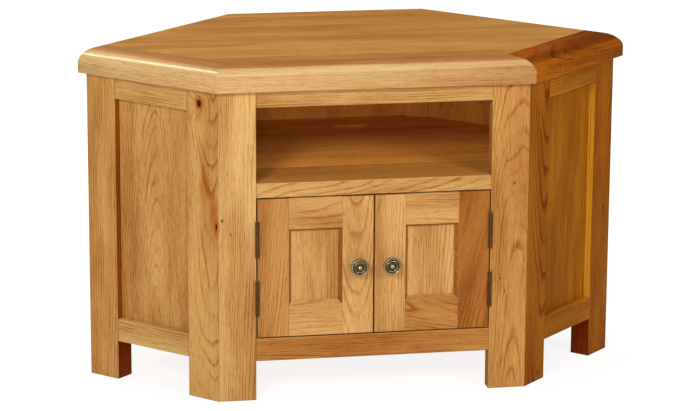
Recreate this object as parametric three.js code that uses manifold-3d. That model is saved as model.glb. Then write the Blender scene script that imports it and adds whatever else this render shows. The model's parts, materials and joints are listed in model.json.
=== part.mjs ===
// Corner television cabinet in oak: an open bay over a cupboard with two doors.
// Millimetres, +Z up. The front faces -Y, and +X is to the right as seen from the front.
import * as THREE from 'three';
import { mergeVertices } from 'three/addons/utils/BufferGeometryUtils.js';
import Module from 'manifold-3d';

const wasm = await Module();
wasm.setup();

// Height, and the widths of the walls in plan; the rear walls are square to the slanting side walls
const cabinetHeight = 600;
const frontWidth = 555;
const sideWidth = 292.7;
const backWidth = 366.8;
const sideTurn = Math.PI / 4;

// Running clearances and overruns
const jointGap = 0.3;
const panelFloat = 0.6;
const cutOverrun = 2;

// Top: a field inside three edge boards with an elliptical nose
const topThickness = 39;
const topOverhang = 16;
const rearOverhang = 6;
const edgeBoardWidth = 80;
const noseWidth = 42;
const noseHeight = 20;
const noseArris = 3;

// Front frame, whose stiles are also the front halves of the front legs
const frameThickness = 27;
const frontStileWidth = 67;
const topRailHeight = 29.5;
const middleBoardTop = 396;
const middleBoardThickness = 26;
const middleBoardDepth = 115;
const lowerRailUnderside = 72;
const lowerRailHeight = 41.5;

// Stub tenons at the ends of the rails
const tenonThickness = 9;
const tenonLength = 22;
const tenonShoulder = 10;

// Side frames
const sideStileWidth = 67;
const rearPostWidth = 64;
const rearPostDepth = 38;
const sideUpperRailHeight = 40.5;
const sidePanelRecess = 13.5;
const sidePanelThickness = 8;
const sideGrooveDepth = 9;

// Rear walls, their lower rails and the two back posts
const rearPanelInset = 5;
const rearPanelThickness = 6;
const rearGrooveDepth = 8;
const rearRailThickness = 20;
const backPostFace = 30;
const backPostDepth = 18;
const cableHoleDiameter = 50;

// Shelf of the bay and floor of the cupboard
const shelfThickness = 18;
const floorThickness = 15;
const floorDrop = 6;

// Doors
const doorThickness = 22;
const doorGap = 2.6;
const doorMeetingGap = 3;
const doorStileWidth = 55;
const doorRailHeight = 56;
const doorBevelWidth = 6;
const doorBevelDepth = 11;
const doorGrooveFront = 12;
const doorGrooveWidth = 7;
const doorGrooveDepth = 8;

// Butt hinges
const hingeLength = 63.5;
const hingeInset = 40;
const hingeLeafWidth = 19;
const hingeLeafThickness = 1;
const hingeLeafSeat = 0.1;
const barrelRadius = 3.5;
const barrelProud = 0.3;
const hingePinRadius = 1.5;
const hingePinClearance = 0.1;
const hingePinHeadRadius = 2.6;
const hingePinHeadHeight = 2.4;
const knuckleGap = 0.3;

// Knobs, revolved, and the screws that hold them
const knobRadius = 16;
const knobProjection = 25;
const knobBoreRadius = 2.3;
const knobBoreDepth = 12;
const knobScrewRadius = 2;
const knobScrewHeadRadius = 4.2;
const knobScrewHeadHeight = 2.6;

// Magnetic catches
const catchWidth = 34;
const catchHeight = 13;
const catchDepth = 17;
const catchFromMiddle = 24;
const catchPlateWidth = 30;
const catchPlateHeight = 11;
const catchPlateThickness = 1.2;
const catchCornerRadius = 2.5;

// Counts
const noseSegments = 14;
const roundSegments = 20;
const knobSegments = 36;
const holeSegments = 32;
const knuckleCount = 5;

// Levels
const topUnderside = cabinetHeight - topThickness;
const bayCeiling = topUnderside - topRailHeight;
const middleBoardUnderside = middleBoardTop - middleBoardThickness;
const doorSill = lowerRailUnderside + lowerRailHeight;
const legTop = topUnderside - jointGap;
const floorTop = doorSill - floorDrop;

// Plan of the body, right-hand half
const turnCos = Math.cos(sideTurn);
const turnSin = Math.sin(sideTurn);
const mitre = Math.tan(sideTurn / 2);
const halfFront = frontWidth / 2;
const halfOpening = halfFront - frontStileWidth;
const rearCorner = [halfFront + sideWidth * turnCos, sideWidth * turnSin];
const rearLength = (rearCorner[0] - backWidth / 2) / turnSin;
const bodyBack = rearCorner[1] + rearLength * turnCos;
const backCorner = [backWidth / 2, bodyBack];
const topSideLength = sideWidth + rearOverhang;
const topBack = bodyBack + rearOverhang;

// Doors and hinges, measured from the middle of the front
const doorInner = doorMeetingGap / 2;
const doorOuter = halfOpening - doorGap;
const doorBottom = doorSill + doorGap;
const doorTop = middleBoardUnderside - doorGap;
const doorMiddle = (doorBottom + doorTop) / 2;
const hingeAxisX = halfOpening - doorGap / 2;
const hingeAxisY = -(barrelRadius + barrelProud);
const knobX = doorInner + doorStileWidth / 2;

function oak(color) {
  return new THREE.MeshStandardMaterial({ color, roughness: 0.5, metalness: 0 });
}

function metal(color, roughness) {
  return new THREE.MeshStandardMaterial({ color, roughness, metalness: 1 });
}

const finishes = {
  body: () => oak(0xd2a063),
  top: () => oak(0xba894d),
  darkBoard: () => oak(0x7a4a1c),
  door: () => oak(0xc89146),
  inside: () => oak(0x9c6a35),
  brass: () => metal(0x7d7752, 0.38),
  bronze: () => metal(0x4a3a22, 0.45),
  steel: () => metal(0xb4b4b0, 0.4),
  catchCase: () => new THREE.MeshStandardMaterial({ color: 0x5a3c20, roughness: 0.6, metalness: 0 }),
};

// A closed mesh as a solid for joining and cutting
function solidOf(geometry) {
  const bare = geometry.index ? geometry.toNonIndexed() : geometry.clone();
  bare.deleteAttribute('normal');
  bare.deleteAttribute('uv');
  const merged = mergeVertices(bare);
  const vertProperties = new Float32Array(merged.attributes.position.array);
  const triVerts = new Uint32Array(merged.index.array);
  return new wasm.Manifold(new wasm.Mesh({ numProp: 3, vertProperties, triVerts }));
}

function geometryOf(solid) {
  const mesh = solid.getMesh();
  const geometry = new THREE.BufferGeometry();
  geometry.setAttribute('position', new THREE.BufferAttribute(new Float32Array(mesh.vertProperties), 3));
  geometry.setIndex(new THREE.BufferAttribute(new Uint32Array(mesh.triVerts), 1));
  return geometry;
}

function cutBy(geometry, ...tools) {
  let solid = solidOf(geometry);
  for (const tool of tools) {
    solid = solid.subtract(solidOf(tool));
  }
  return geometryOf(solid);
}

function joined(...geometries) {
  let solid = solidOf(geometries[0]);
  for (const other of geometries.slice(1)) {
    solid = solid.add(solidOf(other));
  }
  return geometryOf(solid);
}

// An upright prism from a plan outline; hand is -1 for the left-hand piece, which mirrors the outline
function prism(hand, outline, bottom, top) {
  const points = outline.map(([x, y]) => new THREE.Vector2(hand * x, y));
  const settings = { depth: top - bottom, bevelEnabled: false };
  const geometry = new THREE.ExtrudeGeometry(new THREE.Shape(points), settings);
  return geometry.translate(0, 0, bottom);
}

function block(hand, [x0, x1], [y0, y1], [z0, z1]) {
  return prism(hand, [[x0, y0], [x1, y0], [x1, y1], [x0, y1]], z0, z1);
}

// A bar along X between two places, from a section drawn in depth and height
function bar(hand, section, from, to) {
  const geometry = new THREE.ExtrudeGeometry(section, {
    depth: Math.abs(to - from),
    bevelEnabled: false,
    curveSegments: noseSegments,
  });
  const turned = new THREE.Matrix4().makeBasis(
    new THREE.Vector3(0, 1, 0), new THREE.Vector3(0, 0, 1), new THREE.Vector3(1, 0, 0));
  geometry.applyMatrix4(turned);
  return geometry.translate(Math.min(hand * from, hand * to), 0, 0);
}

function outlineShape(points) {
  return new THREE.Shape(points.map(([x, y]) => new THREE.Vector2(x, y)));
}

// Depth and height of a tenon on a rail of the given section, or of its mortise with a clearance
function tenonSection([front, back], [bottom, top], clearance) {
  const middle = (front + back) / 2;
  const reach = tenonThickness / 2 + clearance;
  const inset = tenonShoulder - clearance;
  return [[middle - reach, middle + reach], [bottom + inset, top - inset]];
}

// A rail along X whose shoulders stand a joint gap clear of the posts at x0 and x1
function tenonedRail(hand, [x0, x1], y, z) {
  const shoulders = [x0 + jointGap, x1 - jointGap];
  const tips = [x0 - tenonLength, x1 + tenonLength];
  return joined(block(hand, shoulders, y, z), block(hand, tips, ...tenonSection(y, z, 0)));
}

// What a post loses at its edge so that a rail's tenon fits; inward is the direction into the post
function mortise(hand, edge, inward, y, z) {
  const ends = [edge - inward * cutOverrun, edge + inward * (tenonLength + panelFloat)];
  return block(hand, ends, ...tenonSection(y, z, jointGap));
}

// An upright round rod or hole tool
function rod(radius, bottom, top, x, y) {
  const geometry = new THREE.CylinderGeometry(radius, radius, top - bottom, roundSegments);
  geometry.rotateX(Math.PI / 2);
  return geometry.translate(x, y, (bottom + top) / 2);
}

// A round rod or hole tool that runs from front to back
function crossRod(radius, front, back, x, z, segments) {
  const geometry = new THREE.CylinderGeometry(radius, radius, back - front, segments);
  return geometry.translate(x, (front + back) / 2, z);
}

const cabinet = new THREE.Group();
const body = new THREE.Group();
cabinet.add(body);
body.position.y = -(topBack - knobProjection) / 2;

function place(name, geometry, finish, parent = body) {
  const mesh = new THREE.Mesh(geometry, finish);
  mesh.name = name;
  parent.add(mesh);
}

// A frame of reference turned to a slanting wall; the left-hand one is the mirror image
function wallGroup(hand, origin, turn) {
  const group = new THREE.Group();
  group.position.set(hand * origin[0], origin[1], 0);
  group.rotation.z = hand * turn;
  body.add(group);
  return group;
}

const hands = [{ side: 'left', hand: -1 }, { side: 'right', hand: 1 }];

// Section of an edge board: rounded lower arris, upright face, elliptical nose
function noseSection() {
  const section = new THREE.Shape();
  const noseFoot = topThickness - noseHeight;
  section.moveTo(edgeBoardWidth, 0);
  section.lineTo(edgeBoardWidth, topThickness);
  section.lineTo(noseWidth, topThickness);
  section.absellipse(noseWidth, noseFoot, noseWidth, noseHeight, Math.PI / 2, Math.PI, false, 0);
  section.lineTo(0, noseArris);
  section.absarc(noseArris, noseArris, noseArris, Math.PI, 1.5 * Math.PI, false);
  section.closePath();
  return section;
}

// Edge board whose ends follow the mitre: each end moves in step with the distance from the outer edge
function edgeBoard(hand, length, startMitre, endMitre) {
  const geometry = bar(hand, noseSection(), 0, length);
  const position = geometry.attributes.position;
  for (let i = 0; i < position.count; i += 1) {
    const along = hand * position.getX(i);
    const inward = position.getY(i);
    const atStart = along < length / 2;
    const moved = atStart ? inward * startMitre : length - inward * endMitre;
    position.setX(i, hand * moved);
  }
  geometry.translate(0, 0, topUnderside);
  return geometry;
}

function buildTop() {
  const cornerX = halfFront + topOverhang * mitre;
  const sideCorner = [
    halfFront + topSideLength * turnCos + topOverhang * turnSin,
    topSideLength * turnSin - topOverhang * turnCos,
  ];
  const rearRun = (topBack - sideCorner[1]) / turnCos;
  const fieldInset = edgeBoardWidth + jointGap;
  const half = [
    [cornerX - fieldInset * mitre, fieldInset - topOverhang],
    [sideCorner[0] - fieldInset * turnSin, sideCorner[1] + fieldInset * turnCos],
    [sideCorner[0] - rearRun * turnSin, topBack],
  ];
  const mirrored = half.map(([x, y]) => [-x, y]).reverse();
  place('top_field', prism(1, [...half, ...mirrored], topUnderside, cabinetHeight), finishes.top());

  const front = edgeBoard(1, 2 * cornerX, mitre, mitre);
  place('top_front_board', front.translate(-cornerX, -topOverhang, 0), finishes.top());
  const boardLength = (sideCorner[0] - cornerX) / turnCos;
  for (const { side, hand } of hands) {
    const group = wallGroup(hand, [cornerX, -topOverhang], sideTurn);
    const board = edgeBoard(hand, boardLength - jointGap, mitre, 0);
    const finish = side === 'right' ? finishes.darkBoard() : finishes.top();
    place(`top_${side}_board`, board.translate(hand * jointGap, 0, 0), finish, group);
  }
}

function buildFrontFrame() {
  const mitredBack = halfFront - frameThickness * mitre;
  const outline = [
    [halfFront, 0], [halfOpening, 0], [halfOpening, frameThickness], [mitredBack, frameThickness],
  ];
  const thickness = [0, frameThickness];
  const rails = [['top', [bayCeiling, legTop]], ['bottom', [lowerRailUnderside, doorSill]]];
  for (const { side, hand } of hands) {
    const mortises = rails.map(([, heights]) => mortise(hand, halfOpening, 1, thickness, heights));
    const stile = cutBy(prism(hand, outline, 0, legTop), ...mortises);
    place(`front_${side}_stile`, stile, finishes.body());
  }
  for (const [level, heights] of rails) {
    const rail = tenonedRail(1, [-halfOpening, halfOpening], thickness, heights);
    place(`front_${level}_rail`, rail, finishes.body());
  }
}

// Half plan of a board that fills the body, between two depths, clear of every post
function insideOutline(fromDepth, toDepth, wallDepth) {
  const inset = frameThickness + jointGap;
  const sideInnerX = (y) => halfFront + (y * turnCos - inset) / turnSin;
  const onSide = (along, inward) => [
    halfFront + along * turnCos - inward * turnSin,
    along * turnSin + inward * turnCos,
  ];
  const outline = [[sideInnerX(fromDepth), fromDepth]];
  if (toDepth) {
    outline.push([sideInnerX(toDepth), toDepth]);
    return outline;
  }
  const postFront = sideWidth - rearPostWidth - jointGap;
  const postInner = rearPostDepth + jointGap;
  outline.push(onSide(postFront, inset), onSide(postFront, postInner));
  outline.push(onSide(sideWidth - wallDepth, postInner));
  const farEnd = rearLength - backPostFace - jointGap;
  const innerX = backCorner[0] - backPostFace - jointGap;
  const postReach = backPostDepth + jointGap;
  outline.push(onSide(sideWidth - wallDepth, farEnd));
  if (postReach > wallDepth) {
    outline.push(onSide(sideWidth - postReach, farEnd), [innerX, bodyBack - postReach]);
  }
  outline.push([innerX, bodyBack - wallDepth]);
  return outline;
}

function bothHalves(half) {
  return [...half, ...half.map(([x, y]) => [-x, y]).reverse()];
}

function buildShelfAndFloor() {
  const lip = halfOpening - jointGap;
  const behindFrame = frameThickness + jointGap;
  const front = [[lip, 0], [lip, behindFrame], ...insideOutline(behindFrame, middleBoardDepth)];
  const middleBoard = prism(1, bothHalves(front), middleBoardUnderside, middleBoardTop);
  place('front_middle_board', middleBoard, finishes.body());

  const shelfWall = rearPanelInset + rearPanelThickness + jointGap;
  const shelf = bothHalves(insideOutline(middleBoardDepth + jointGap, 0, shelfWall));
  place('bay_shelf', prism(1, shelf, middleBoardTop - shelfThickness, middleBoardTop), finishes.inside());

  const floor = bothHalves(insideOutline(behindFrame, 0, rearRailThickness + jointGap));
  place('cupboard_floor', prism(1, floor, floorTop - floorThickness, floorTop), finishes.inside());
}

// Place of a groove for a panel of the given front face and thickness
function grooveRange(face, thickness) {
  return [face - jointGap, face + thickness + jointGap];
}

function buildSideFrame({ side, hand }) {
  const group = wallGroup(hand, [halfFront, 0], sideTurn);
  const stileInner = sideStileWidth;
  const postInner = sideWidth - rearPostWidth;
  const railTop = lowerRailUnderside + lowerRailHeight;
  const upperRailBottom = topUnderside - sideUpperRailHeight;
  const tongue = sideGrooveDepth - panelFloat;

  const panelX = [stileInner - tongue, postInner + tongue];
  const panelZ = [railTop - tongue, upperRailBottom + tongue];
  const panelY = [sidePanelRecess, sidePanelRecess + sidePanelThickness];
  const grooveX = [stileInner - sideGrooveDepth, postInner + sideGrooveDepth];
  const grooveZ = [railTop - sideGrooveDepth, upperRailBottom + sideGrooveDepth];
  const groove = block(hand, grooveX, grooveRange(sidePanelRecess, sidePanelThickness), grooveZ);
  const thickness = [0, frameThickness];
  const rails = [['lower', [lowerRailUnderside, railTop]], ['upper', [upperRailBottom, legTop]]];
  const mortises = (edge, inward) => rails.map(
    ([, heights]) => mortise(hand, edge, inward, thickness, heights));

  const mitredBack = frameThickness * mitre + jointGap;
  const stileOutline = [
    [jointGap, 0], [stileInner, 0], [stileInner, frameThickness], [mitredBack, frameThickness],
  ];
  const stile = cutBy(prism(hand, stileOutline, 0, legTop), groove, ...mortises(stileInner, -1));
  place(`${side}_side_front_stile`, stile, finishes.body(), group);

  const rearGroove = block(
    hand,
    [sideWidth - rearPanelInset - rearPanelThickness - jointGap, sideWidth - rearPanelInset + jointGap],
    [rearPostDepth - rearGrooveDepth, rearPostDepth + cutOverrun],
    [railTop - rearGrooveDepth, topUnderside]);
  const post = block(hand, [postInner, sideWidth], [0, rearPostDepth], [0, legTop]);
  const grooved = cutBy(post, groove, rearGroove, ...mortises(postInner, 1));
  place(`${side}_rear_post`, grooved, finishes.body(), group);

  const longGroove = block(
    hand,
    [stileInner - cutOverrun, postInner + cutOverrun],
    grooveRange(sidePanelRecess, sidePanelThickness),
    grooveZ);
  for (const [level, heights] of rails) {
    const rail = cutBy(tenonedRail(hand, [stileInner, postInner], thickness, heights), longGroove);
    place(`${side}_side_${level}_rail`, rail, finishes.body(), group);
  }
  place(`${side}_side_panel`, block(hand, panelX, panelY, panelZ), finishes.body(), group);
}

// Section of a rear lower rail, with the groove that the wall panel stands in
function rearRailSection() {
  const top = lowerRailUnderside + lowerRailHeight;
  const grooveFar = rearPanelInset - jointGap;
  const grooveNear = rearPanelInset + rearPanelThickness + jointGap;
  const grooveFoot = top - rearGrooveDepth;
  return outlineShape([
    [0, lowerRailUnderside], [rearRailThickness, lowerRailUnderside], [rearRailThickness, top],
    [grooveNear, top], [grooveNear, grooveFoot], [grooveFar, grooveFoot], [grooveFar, top], [0, top],
  ]);
}

function rearPanelHeights() {
  return [doorSill - rearGrooveDepth + panelFloat, legTop];
}

function buildRearWall({ side, hand }) {
  const group = wallGroup(hand, rearCorner, sideTurn + Math.PI / 2);
  const tongue = rearGrooveDepth - panelFloat;
  const panelX = [rearPostDepth - tongue, rearLength - backPostFace + tongue];
  const panelY = [rearPanelInset, rearPanelInset + rearPanelThickness];
  place(`${side}_rear_panel`, block(hand, panelX, panelY, rearPanelHeights()), finishes.inside(), group);
  const railX = [rearPostDepth + jointGap, rearLength - backPostFace - jointGap];
  place(`${side}_rear_lower_rail`, bar(hand, rearRailSection(), ...railX), finishes.inside(), group);
}

function buildBack() {
  const panelSpan = backCorner[0] - backPostFace + rearGrooveDepth - panelFloat;
  const panelY = [bodyBack - rearPanelInset - rearPanelThickness, bodyBack - rearPanelInset];
  const plain = block(1, [-panelSpan, panelSpan], panelY, rearPanelHeights());
  const holeRadius = cableHoleDiameter / 2;
  const holeFront = panelY[0] - cutOverrun;
  const holeBack = panelY[1] + cutOverrun;
  const holeHeight = (middleBoardTop + topUnderside) / 2;
  const hole = crossRod(holeRadius, holeFront, holeBack, 0, holeHeight, holeSegments);
  place('back_panel', cutBy(plain, hole), finishes.inside());

  const railEnd = backCorner[0] - backPostFace - jointGap;
  const rail = bar(1, rearRailSection(), -railEnd, railEnd);
  rail.rotateZ(Math.PI);
  place('back_lower_rail', rail.translate(0, bodyBack, 0), finishes.inside());

  const slantX = backPostFace * turnSin;
  const slantY = backPostFace * turnCos;
  const postOutline = [
    backCorner,
    [backCorner[0] + slantX, backCorner[1] - slantY],
    [backCorner[0] + slantX - backPostDepth * turnCos, backCorner[1] - slantY - backPostDepth * turnSin],
    [backCorner[0] - backPostFace, backCorner[1] - backPostDepth],
    [backCorner[0] - backPostFace, backCorner[1]],
  ];
  const grooveZ = [doorSill - rearGrooveDepth, topUnderside];
  const backEnd = backCorner[0] - backPostFace;
  const slantEnd = rearLength - backPostFace;
  for (const { side, hand } of hands) {
    const post = prism(hand, postOutline, 0, legTop);
    const backGrooveX = [backEnd - cutOverrun, backEnd + rearGrooveDepth];
    const backGroove = block(hand, backGrooveX, [panelY[0] - jointGap, panelY[1] + jointGap], grooveZ);
    const slantGrooveX = [slantEnd - cutOverrun, slantEnd + rearGrooveDepth];
    const slantGroove = block(hand, slantGrooveX, grooveRange(rearPanelInset, rearPanelThickness), grooveZ);
    slantGroove.rotateZ(hand * (sideTurn + Math.PI / 2));
    slantGroove.translate(hand * rearCorner[0], rearCorner[1], 0);
    place(`${side}_back_post`, cutBy(post, backGroove, slantGroove), finishes.inside());
  }
}

// Section of a door member, drawn from its outer edge inwards and from its front face back
function doorSection(width) {
  const lip = width + doorBevelWidth;
  const grooveFoot = lip - doorGrooveDepth;
  const grooveBack = doorGrooveFront + doorGrooveWidth;
  return [
    [0, 0], [width, 0], [lip, doorBevelDepth], [lip, doorGrooveFront], [grooveFoot, doorGrooveFront],
    [grooveFoot, grooveBack], [lip, grooveBack], [lip, doorThickness], [0, doorThickness],
  ];
}

// What a rail end loses so that it fits over a stile's bevel and leaves a stub tenon for its groove
function copeTools(hand, edge, inward) {
  const faceEnd = edge + inward * (doorStileWidth + jointGap);
  const lipEnd = edge + inward * (doorStileWidth + doorBevelWidth + jointGap);
  const outside = edge - inward * cutOverrun;
  const tenonFront = doorGrooveFront + jointGap;
  const tenonBack = doorGrooveFront + doorGrooveWidth - jointGap;
  const tenonEnd = lipEnd - inward * (doorGrooveDepth - panelFloat);
  const full = [doorBottom - cutOverrun, doorTop + cutOverrun];
  const overBevel = [
    [outside, -cutOverrun], [faceEnd, -cutOverrun], [faceEnd, 0], [lipEnd, doorBevelDepth],
    [lipEnd, tenonFront], [outside, tenonFront],
  ];
  return [
    prism(hand, overBevel, ...full),
    block(hand, [outside, lipEnd], [tenonBack, doorThickness + cutOverrun], full),
    block(hand, [outside, tenonEnd], [-cutOverrun, doorThickness + cutOverrun], full),
  ];
}

function buildDoor({ side, hand }) {
  const stile = doorSection(doorStileWidth);
  const hingeStile = prism(hand, stile.map(([w, y]) => [doorOuter - w, y]), doorBottom, doorTop);
  place(`${side}_door_hinge_stile`, hingeStile, finishes.door());

  const meetingStile = prism(hand, stile.map(([w, y]) => [doorInner + w, y]), doorBottom, doorTop);
  const holeRadius = knobScrewRadius + jointGap;
  const holeBack = doorThickness + cutOverrun;
  const screwHole = crossRod(holeRadius, -cutOverrun, holeBack, hand * knobX, doorMiddle, roundSegments);
  place(`${side}_door_meeting_stile`, cutBy(meetingStile, screwHole), finishes.door());

  const copes = [...copeTools(hand, doorInner, 1), ...copeTools(hand, doorOuter, -1)];
  const railSection = doorSection(doorRailHeight);
  const topSection = outlineShape(railSection.map(([h, y]) => [y, doorTop - h]));
  const bottomSection = outlineShape(railSection.map(([h, y]) => [y, doorBottom + h]));
  for (const [level, section] of [['top', topSection], ['bottom', bottomSection]]) {
    const rail = cutBy(bar(hand, section, doorInner, doorOuter), ...copes);
    place(`${side}_door_${level}_rail`, rail, finishes.door());
  }

  const edgeX = doorStileWidth + doorBevelWidth - doorGrooveDepth + panelFloat;
  const edgeZ = doorRailHeight + doorBevelWidth - doorGrooveDepth + panelFloat;
  const panelY = [doorGrooveFront + jointGap, doorGrooveFront + doorGrooveWidth - jointGap];
  const panel = block(
    hand, [doorInner + edgeX, doorOuter - edgeX], panelY, [doorBottom + edgeZ, doorTop - edgeZ]);
  place(`${side}_door_panel`, panel, finishes.door());
}

// Radius and height of each point of the knob, as shares of its own radius and projection
const knobProfileShares = [
  [0.56, 0], [0.56, 0.06], [0.5, 0.1], [0.34, 0.16], [0.3, 0.3], [0.33, 0.42], [0.5, 0.54], [0.82, 0.63],
  [0.97, 0.7], [1, 0.76], [0.97, 0.82], [0.9, 0.86], [0.82, 0.86], [0.76, 0.81], [0.7, 0.79], [0.66, 0.82],
  [0.62, 0.86], [0.56, 0.86], [0.52, 0.81], [0.46, 0.78], [0.4, 0.8], [0.34, 0.86], [0.26, 0.88],
  [0.18, 0.9], [0.15, 0.96], [0.08, 0.99], [0, 1],
];

function buildKnob({ side, hand }) {
  const profile = [new THREE.Vector2(0, 0)];
  for (const [radius, height] of knobProfileShares) {
    profile.push(new THREE.Vector2(radius * knobRadius, height * (knobProjection - jointGap)));
  }
  const turned = new THREE.LatheGeometry(profile, knobSegments);
  turned.rotateX(Math.PI);
  turned.translate(hand * knobX, -jointGap, doorMiddle);
  const bore = crossRod(
    knobBoreRadius, -jointGap - knobBoreDepth, cutOverrun, hand * knobX, doorMiddle, roundSegments);
  place(`${side}_knob`, cutBy(turned, bore), finishes.brass());

  const shankTip = knobScrewRadius / 2 - knobBoreDepth;
  const headFront = doorThickness + jointGap;
  const headBack = headFront + knobScrewHeadHeight;
  const shankEnd = (headFront + headBack) / 2;
  const shank = crossRod(knobScrewRadius, shankTip, shankEnd, hand * knobX, doorMiddle, roundSegments);
  const head = crossRod(knobScrewHeadRadius, headFront, headBack, hand * knobX, doorMiddle, roundSegments);
  place(`${side}_knob_screw`, joined(shank, head), finishes.steel());
}

function knuckleRange(bottom, index) {
  const pitch = (hingeLength + knuckleGap) / knuckleCount;
  const start = bottom + index * pitch;
  return [start, start + pitch - knuckleGap];
}

// One leaf with its knuckles; the frame leaf has the even ones and the door leaf the odd ones
function hingeLeaf(hand, bottom, parity, outward) {
  const near = doorGap / 2 - hingeLeafSeat;
  const plateX = [hingeAxisX + outward * (near - hingeLeafThickness), hingeAxisX + outward * near];
  const plateFront = hingeAxisY + barrelRadius + knuckleGap;
  const plate = block(
    hand, plateX, [plateFront, plateFront + hingeLeafWidth], [bottom, bottom + hingeLength]);
  const pieces = [plate];
  for (let index = 0; index < knuckleCount; index += 1) {
    if (index % 2 === parity) {
      const range = knuckleRange(bottom, index);
      const tabFront = hingeAxisY + (barrelRadius + hingePinRadius) / 2;
      pieces.push(rod(barrelRadius, ...range, hand * hingeAxisX, hingeAxisY));
      pieces.push(block(hand, plateX, [tabFront, plateFront + knuckleGap], range));
    }
  }
  const bore = rod(
    hingePinRadius + hingePinClearance, bottom - cutOverrun, bottom + hingeLength + cutOverrun,
    hand * hingeAxisX, hingeAxisY);
  return cutBy(joined(...pieces), bore);
}

// Radius and height of the points of a pin's domed head, as shares of the head's own
const pinDomeShares = [[1, 0], [1, 0.16], [0.94, 0.42], [0.72, 0.76], [0.38, 0.95], [0, 1]];

function hingePin(hand, bottom) {
  const headStart = hingeLength / 2 + knuckleGap;
  const head = pinDomeShares.map(([r, h]) => [r * hingePinHeadRadius, headStart + h * hingePinHeadHeight]);
  const half = [[hingePinRadius, headStart], ...head];
  const lowerHalf = half.map(([r, h]) => [r, -h]).reverse();
  const points = [...lowerHalf, ...half].map(([r, h]) => new THREE.Vector2(r, h));
  const pin = new THREE.LatheGeometry(points, roundSegments);
  pin.rotateX(Math.PI / 2);
  return pin.translate(hand * hingeAxisX, hingeAxisY, bottom + hingeLength / 2);
}

function buildHinges({ side, hand }) {
  const places = [
    ['upper', doorTop - hingeInset - hingeLength],
    ['lower', doorBottom + hingeInset],
  ];
  for (const [level, bottom] of places) {
    place(`${side}_${level}_hinge_frame_leaf`, hingeLeaf(hand, bottom, 0, 1), finishes.bronze());
    place(`${side}_${level}_hinge_door_leaf`, hingeLeaf(hand, bottom, 1, -1), finishes.bronze());
    place(`${side}_${level}_hinge_pin`, hingePin(hand, bottom), finishes.bronze());
  }
}

function roundedOutline(width, height, radius) {
  const shape = new THREE.Shape();
  const x = width / 2 - radius;
  const y = height / 2 - radius;
  shape.absarc(x, y, radius, 0, Math.PI / 2, false);
  shape.absarc(-x, y, radius, Math.PI / 2, Math.PI, false);
  shape.absarc(-x, -y, radius, Math.PI, 1.5 * Math.PI, false);
  shape.absarc(x, -y, radius, 1.5 * Math.PI, 2 * Math.PI, false);
  return shape;
}

function buildCatch({ side, hand }) {
  const x = hand * (catchFromMiddle + catchWidth / 2);
  const plateBack = doorThickness + jointGap + catchPlateThickness;
  const caseBody = new THREE.ExtrudeGeometry(
    roundedOutline(catchWidth, catchHeight, catchCornerRadius), { depth: catchDepth, bevelEnabled: false });
  caseBody.rotateX(Math.PI / 2);
  const caseZ = middleBoardUnderside - jointGap - catchHeight / 2;
  caseBody.translate(x, plateBack + jointGap + catchDepth, caseZ);
  place(`${side}_catch`, caseBody, finishes.catchCase());

  const plate = new THREE.ExtrudeGeometry(
    roundedOutline(catchPlateWidth, catchPlateHeight, catchCornerRadius),
    { depth: catchPlateThickness, bevelEnabled: false });
  plate.rotateX(Math.PI / 2);
  plate.translate(x, plateBack, doorTop - jointGap - catchPlateHeight / 2);
  place(`${side}_catch_plate`, plate, finishes.steel());
}

buildTop();
buildFrontFrame();
buildShelfAndFloor();
for (const pair of hands) {
  buildSideFrame(pair);
  buildRearWall(pair);
  buildDoor(pair);
  buildKnob(pair);
  buildHinges(pair);
  buildCatch(pair);
}
buildBack();

export default cabinet;
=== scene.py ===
"""Dresses a corner television cabinet in oak, brass and bronze, and sets its floor, lamps and camera."""

import json
import math
import zlib
from functools import partial, reduce

import bmesh
import bpy
import numpy as np
from bpy.props import FloatProperty, FloatVectorProperty, IntProperty, PointerProperty
from mathutils import Color, Matrix, Vector


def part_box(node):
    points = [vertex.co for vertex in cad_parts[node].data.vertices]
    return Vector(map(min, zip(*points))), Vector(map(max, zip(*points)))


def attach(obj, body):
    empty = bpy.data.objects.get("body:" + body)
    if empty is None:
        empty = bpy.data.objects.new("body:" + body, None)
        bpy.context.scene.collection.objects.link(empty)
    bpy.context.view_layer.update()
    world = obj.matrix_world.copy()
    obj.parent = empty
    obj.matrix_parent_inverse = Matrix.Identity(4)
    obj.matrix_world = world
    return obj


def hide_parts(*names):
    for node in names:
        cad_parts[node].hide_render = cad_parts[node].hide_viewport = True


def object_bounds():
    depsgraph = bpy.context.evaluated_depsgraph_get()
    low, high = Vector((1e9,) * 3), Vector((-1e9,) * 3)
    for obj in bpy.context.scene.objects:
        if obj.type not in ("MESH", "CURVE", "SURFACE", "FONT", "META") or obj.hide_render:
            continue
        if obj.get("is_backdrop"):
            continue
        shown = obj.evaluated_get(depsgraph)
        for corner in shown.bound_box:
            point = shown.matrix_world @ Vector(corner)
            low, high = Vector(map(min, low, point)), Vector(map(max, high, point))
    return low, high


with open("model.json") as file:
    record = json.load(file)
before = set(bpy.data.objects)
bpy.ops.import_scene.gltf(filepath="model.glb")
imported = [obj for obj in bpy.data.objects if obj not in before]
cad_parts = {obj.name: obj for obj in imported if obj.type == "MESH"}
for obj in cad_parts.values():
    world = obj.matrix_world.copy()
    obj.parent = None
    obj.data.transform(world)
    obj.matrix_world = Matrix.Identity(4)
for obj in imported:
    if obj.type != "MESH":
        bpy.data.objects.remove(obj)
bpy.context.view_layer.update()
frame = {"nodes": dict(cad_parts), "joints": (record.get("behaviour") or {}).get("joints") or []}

bl_info = {
    "name": "Corner Cabinet Finish",
    "version": (1, 0, 0),
    "blender": (4, 5, 0),
    "location": "3D View > Sidebar > Cabinet",
    "description": "Oak, brass and bronze for a corner television cabinet",
    "category": "Object",
}

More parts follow.
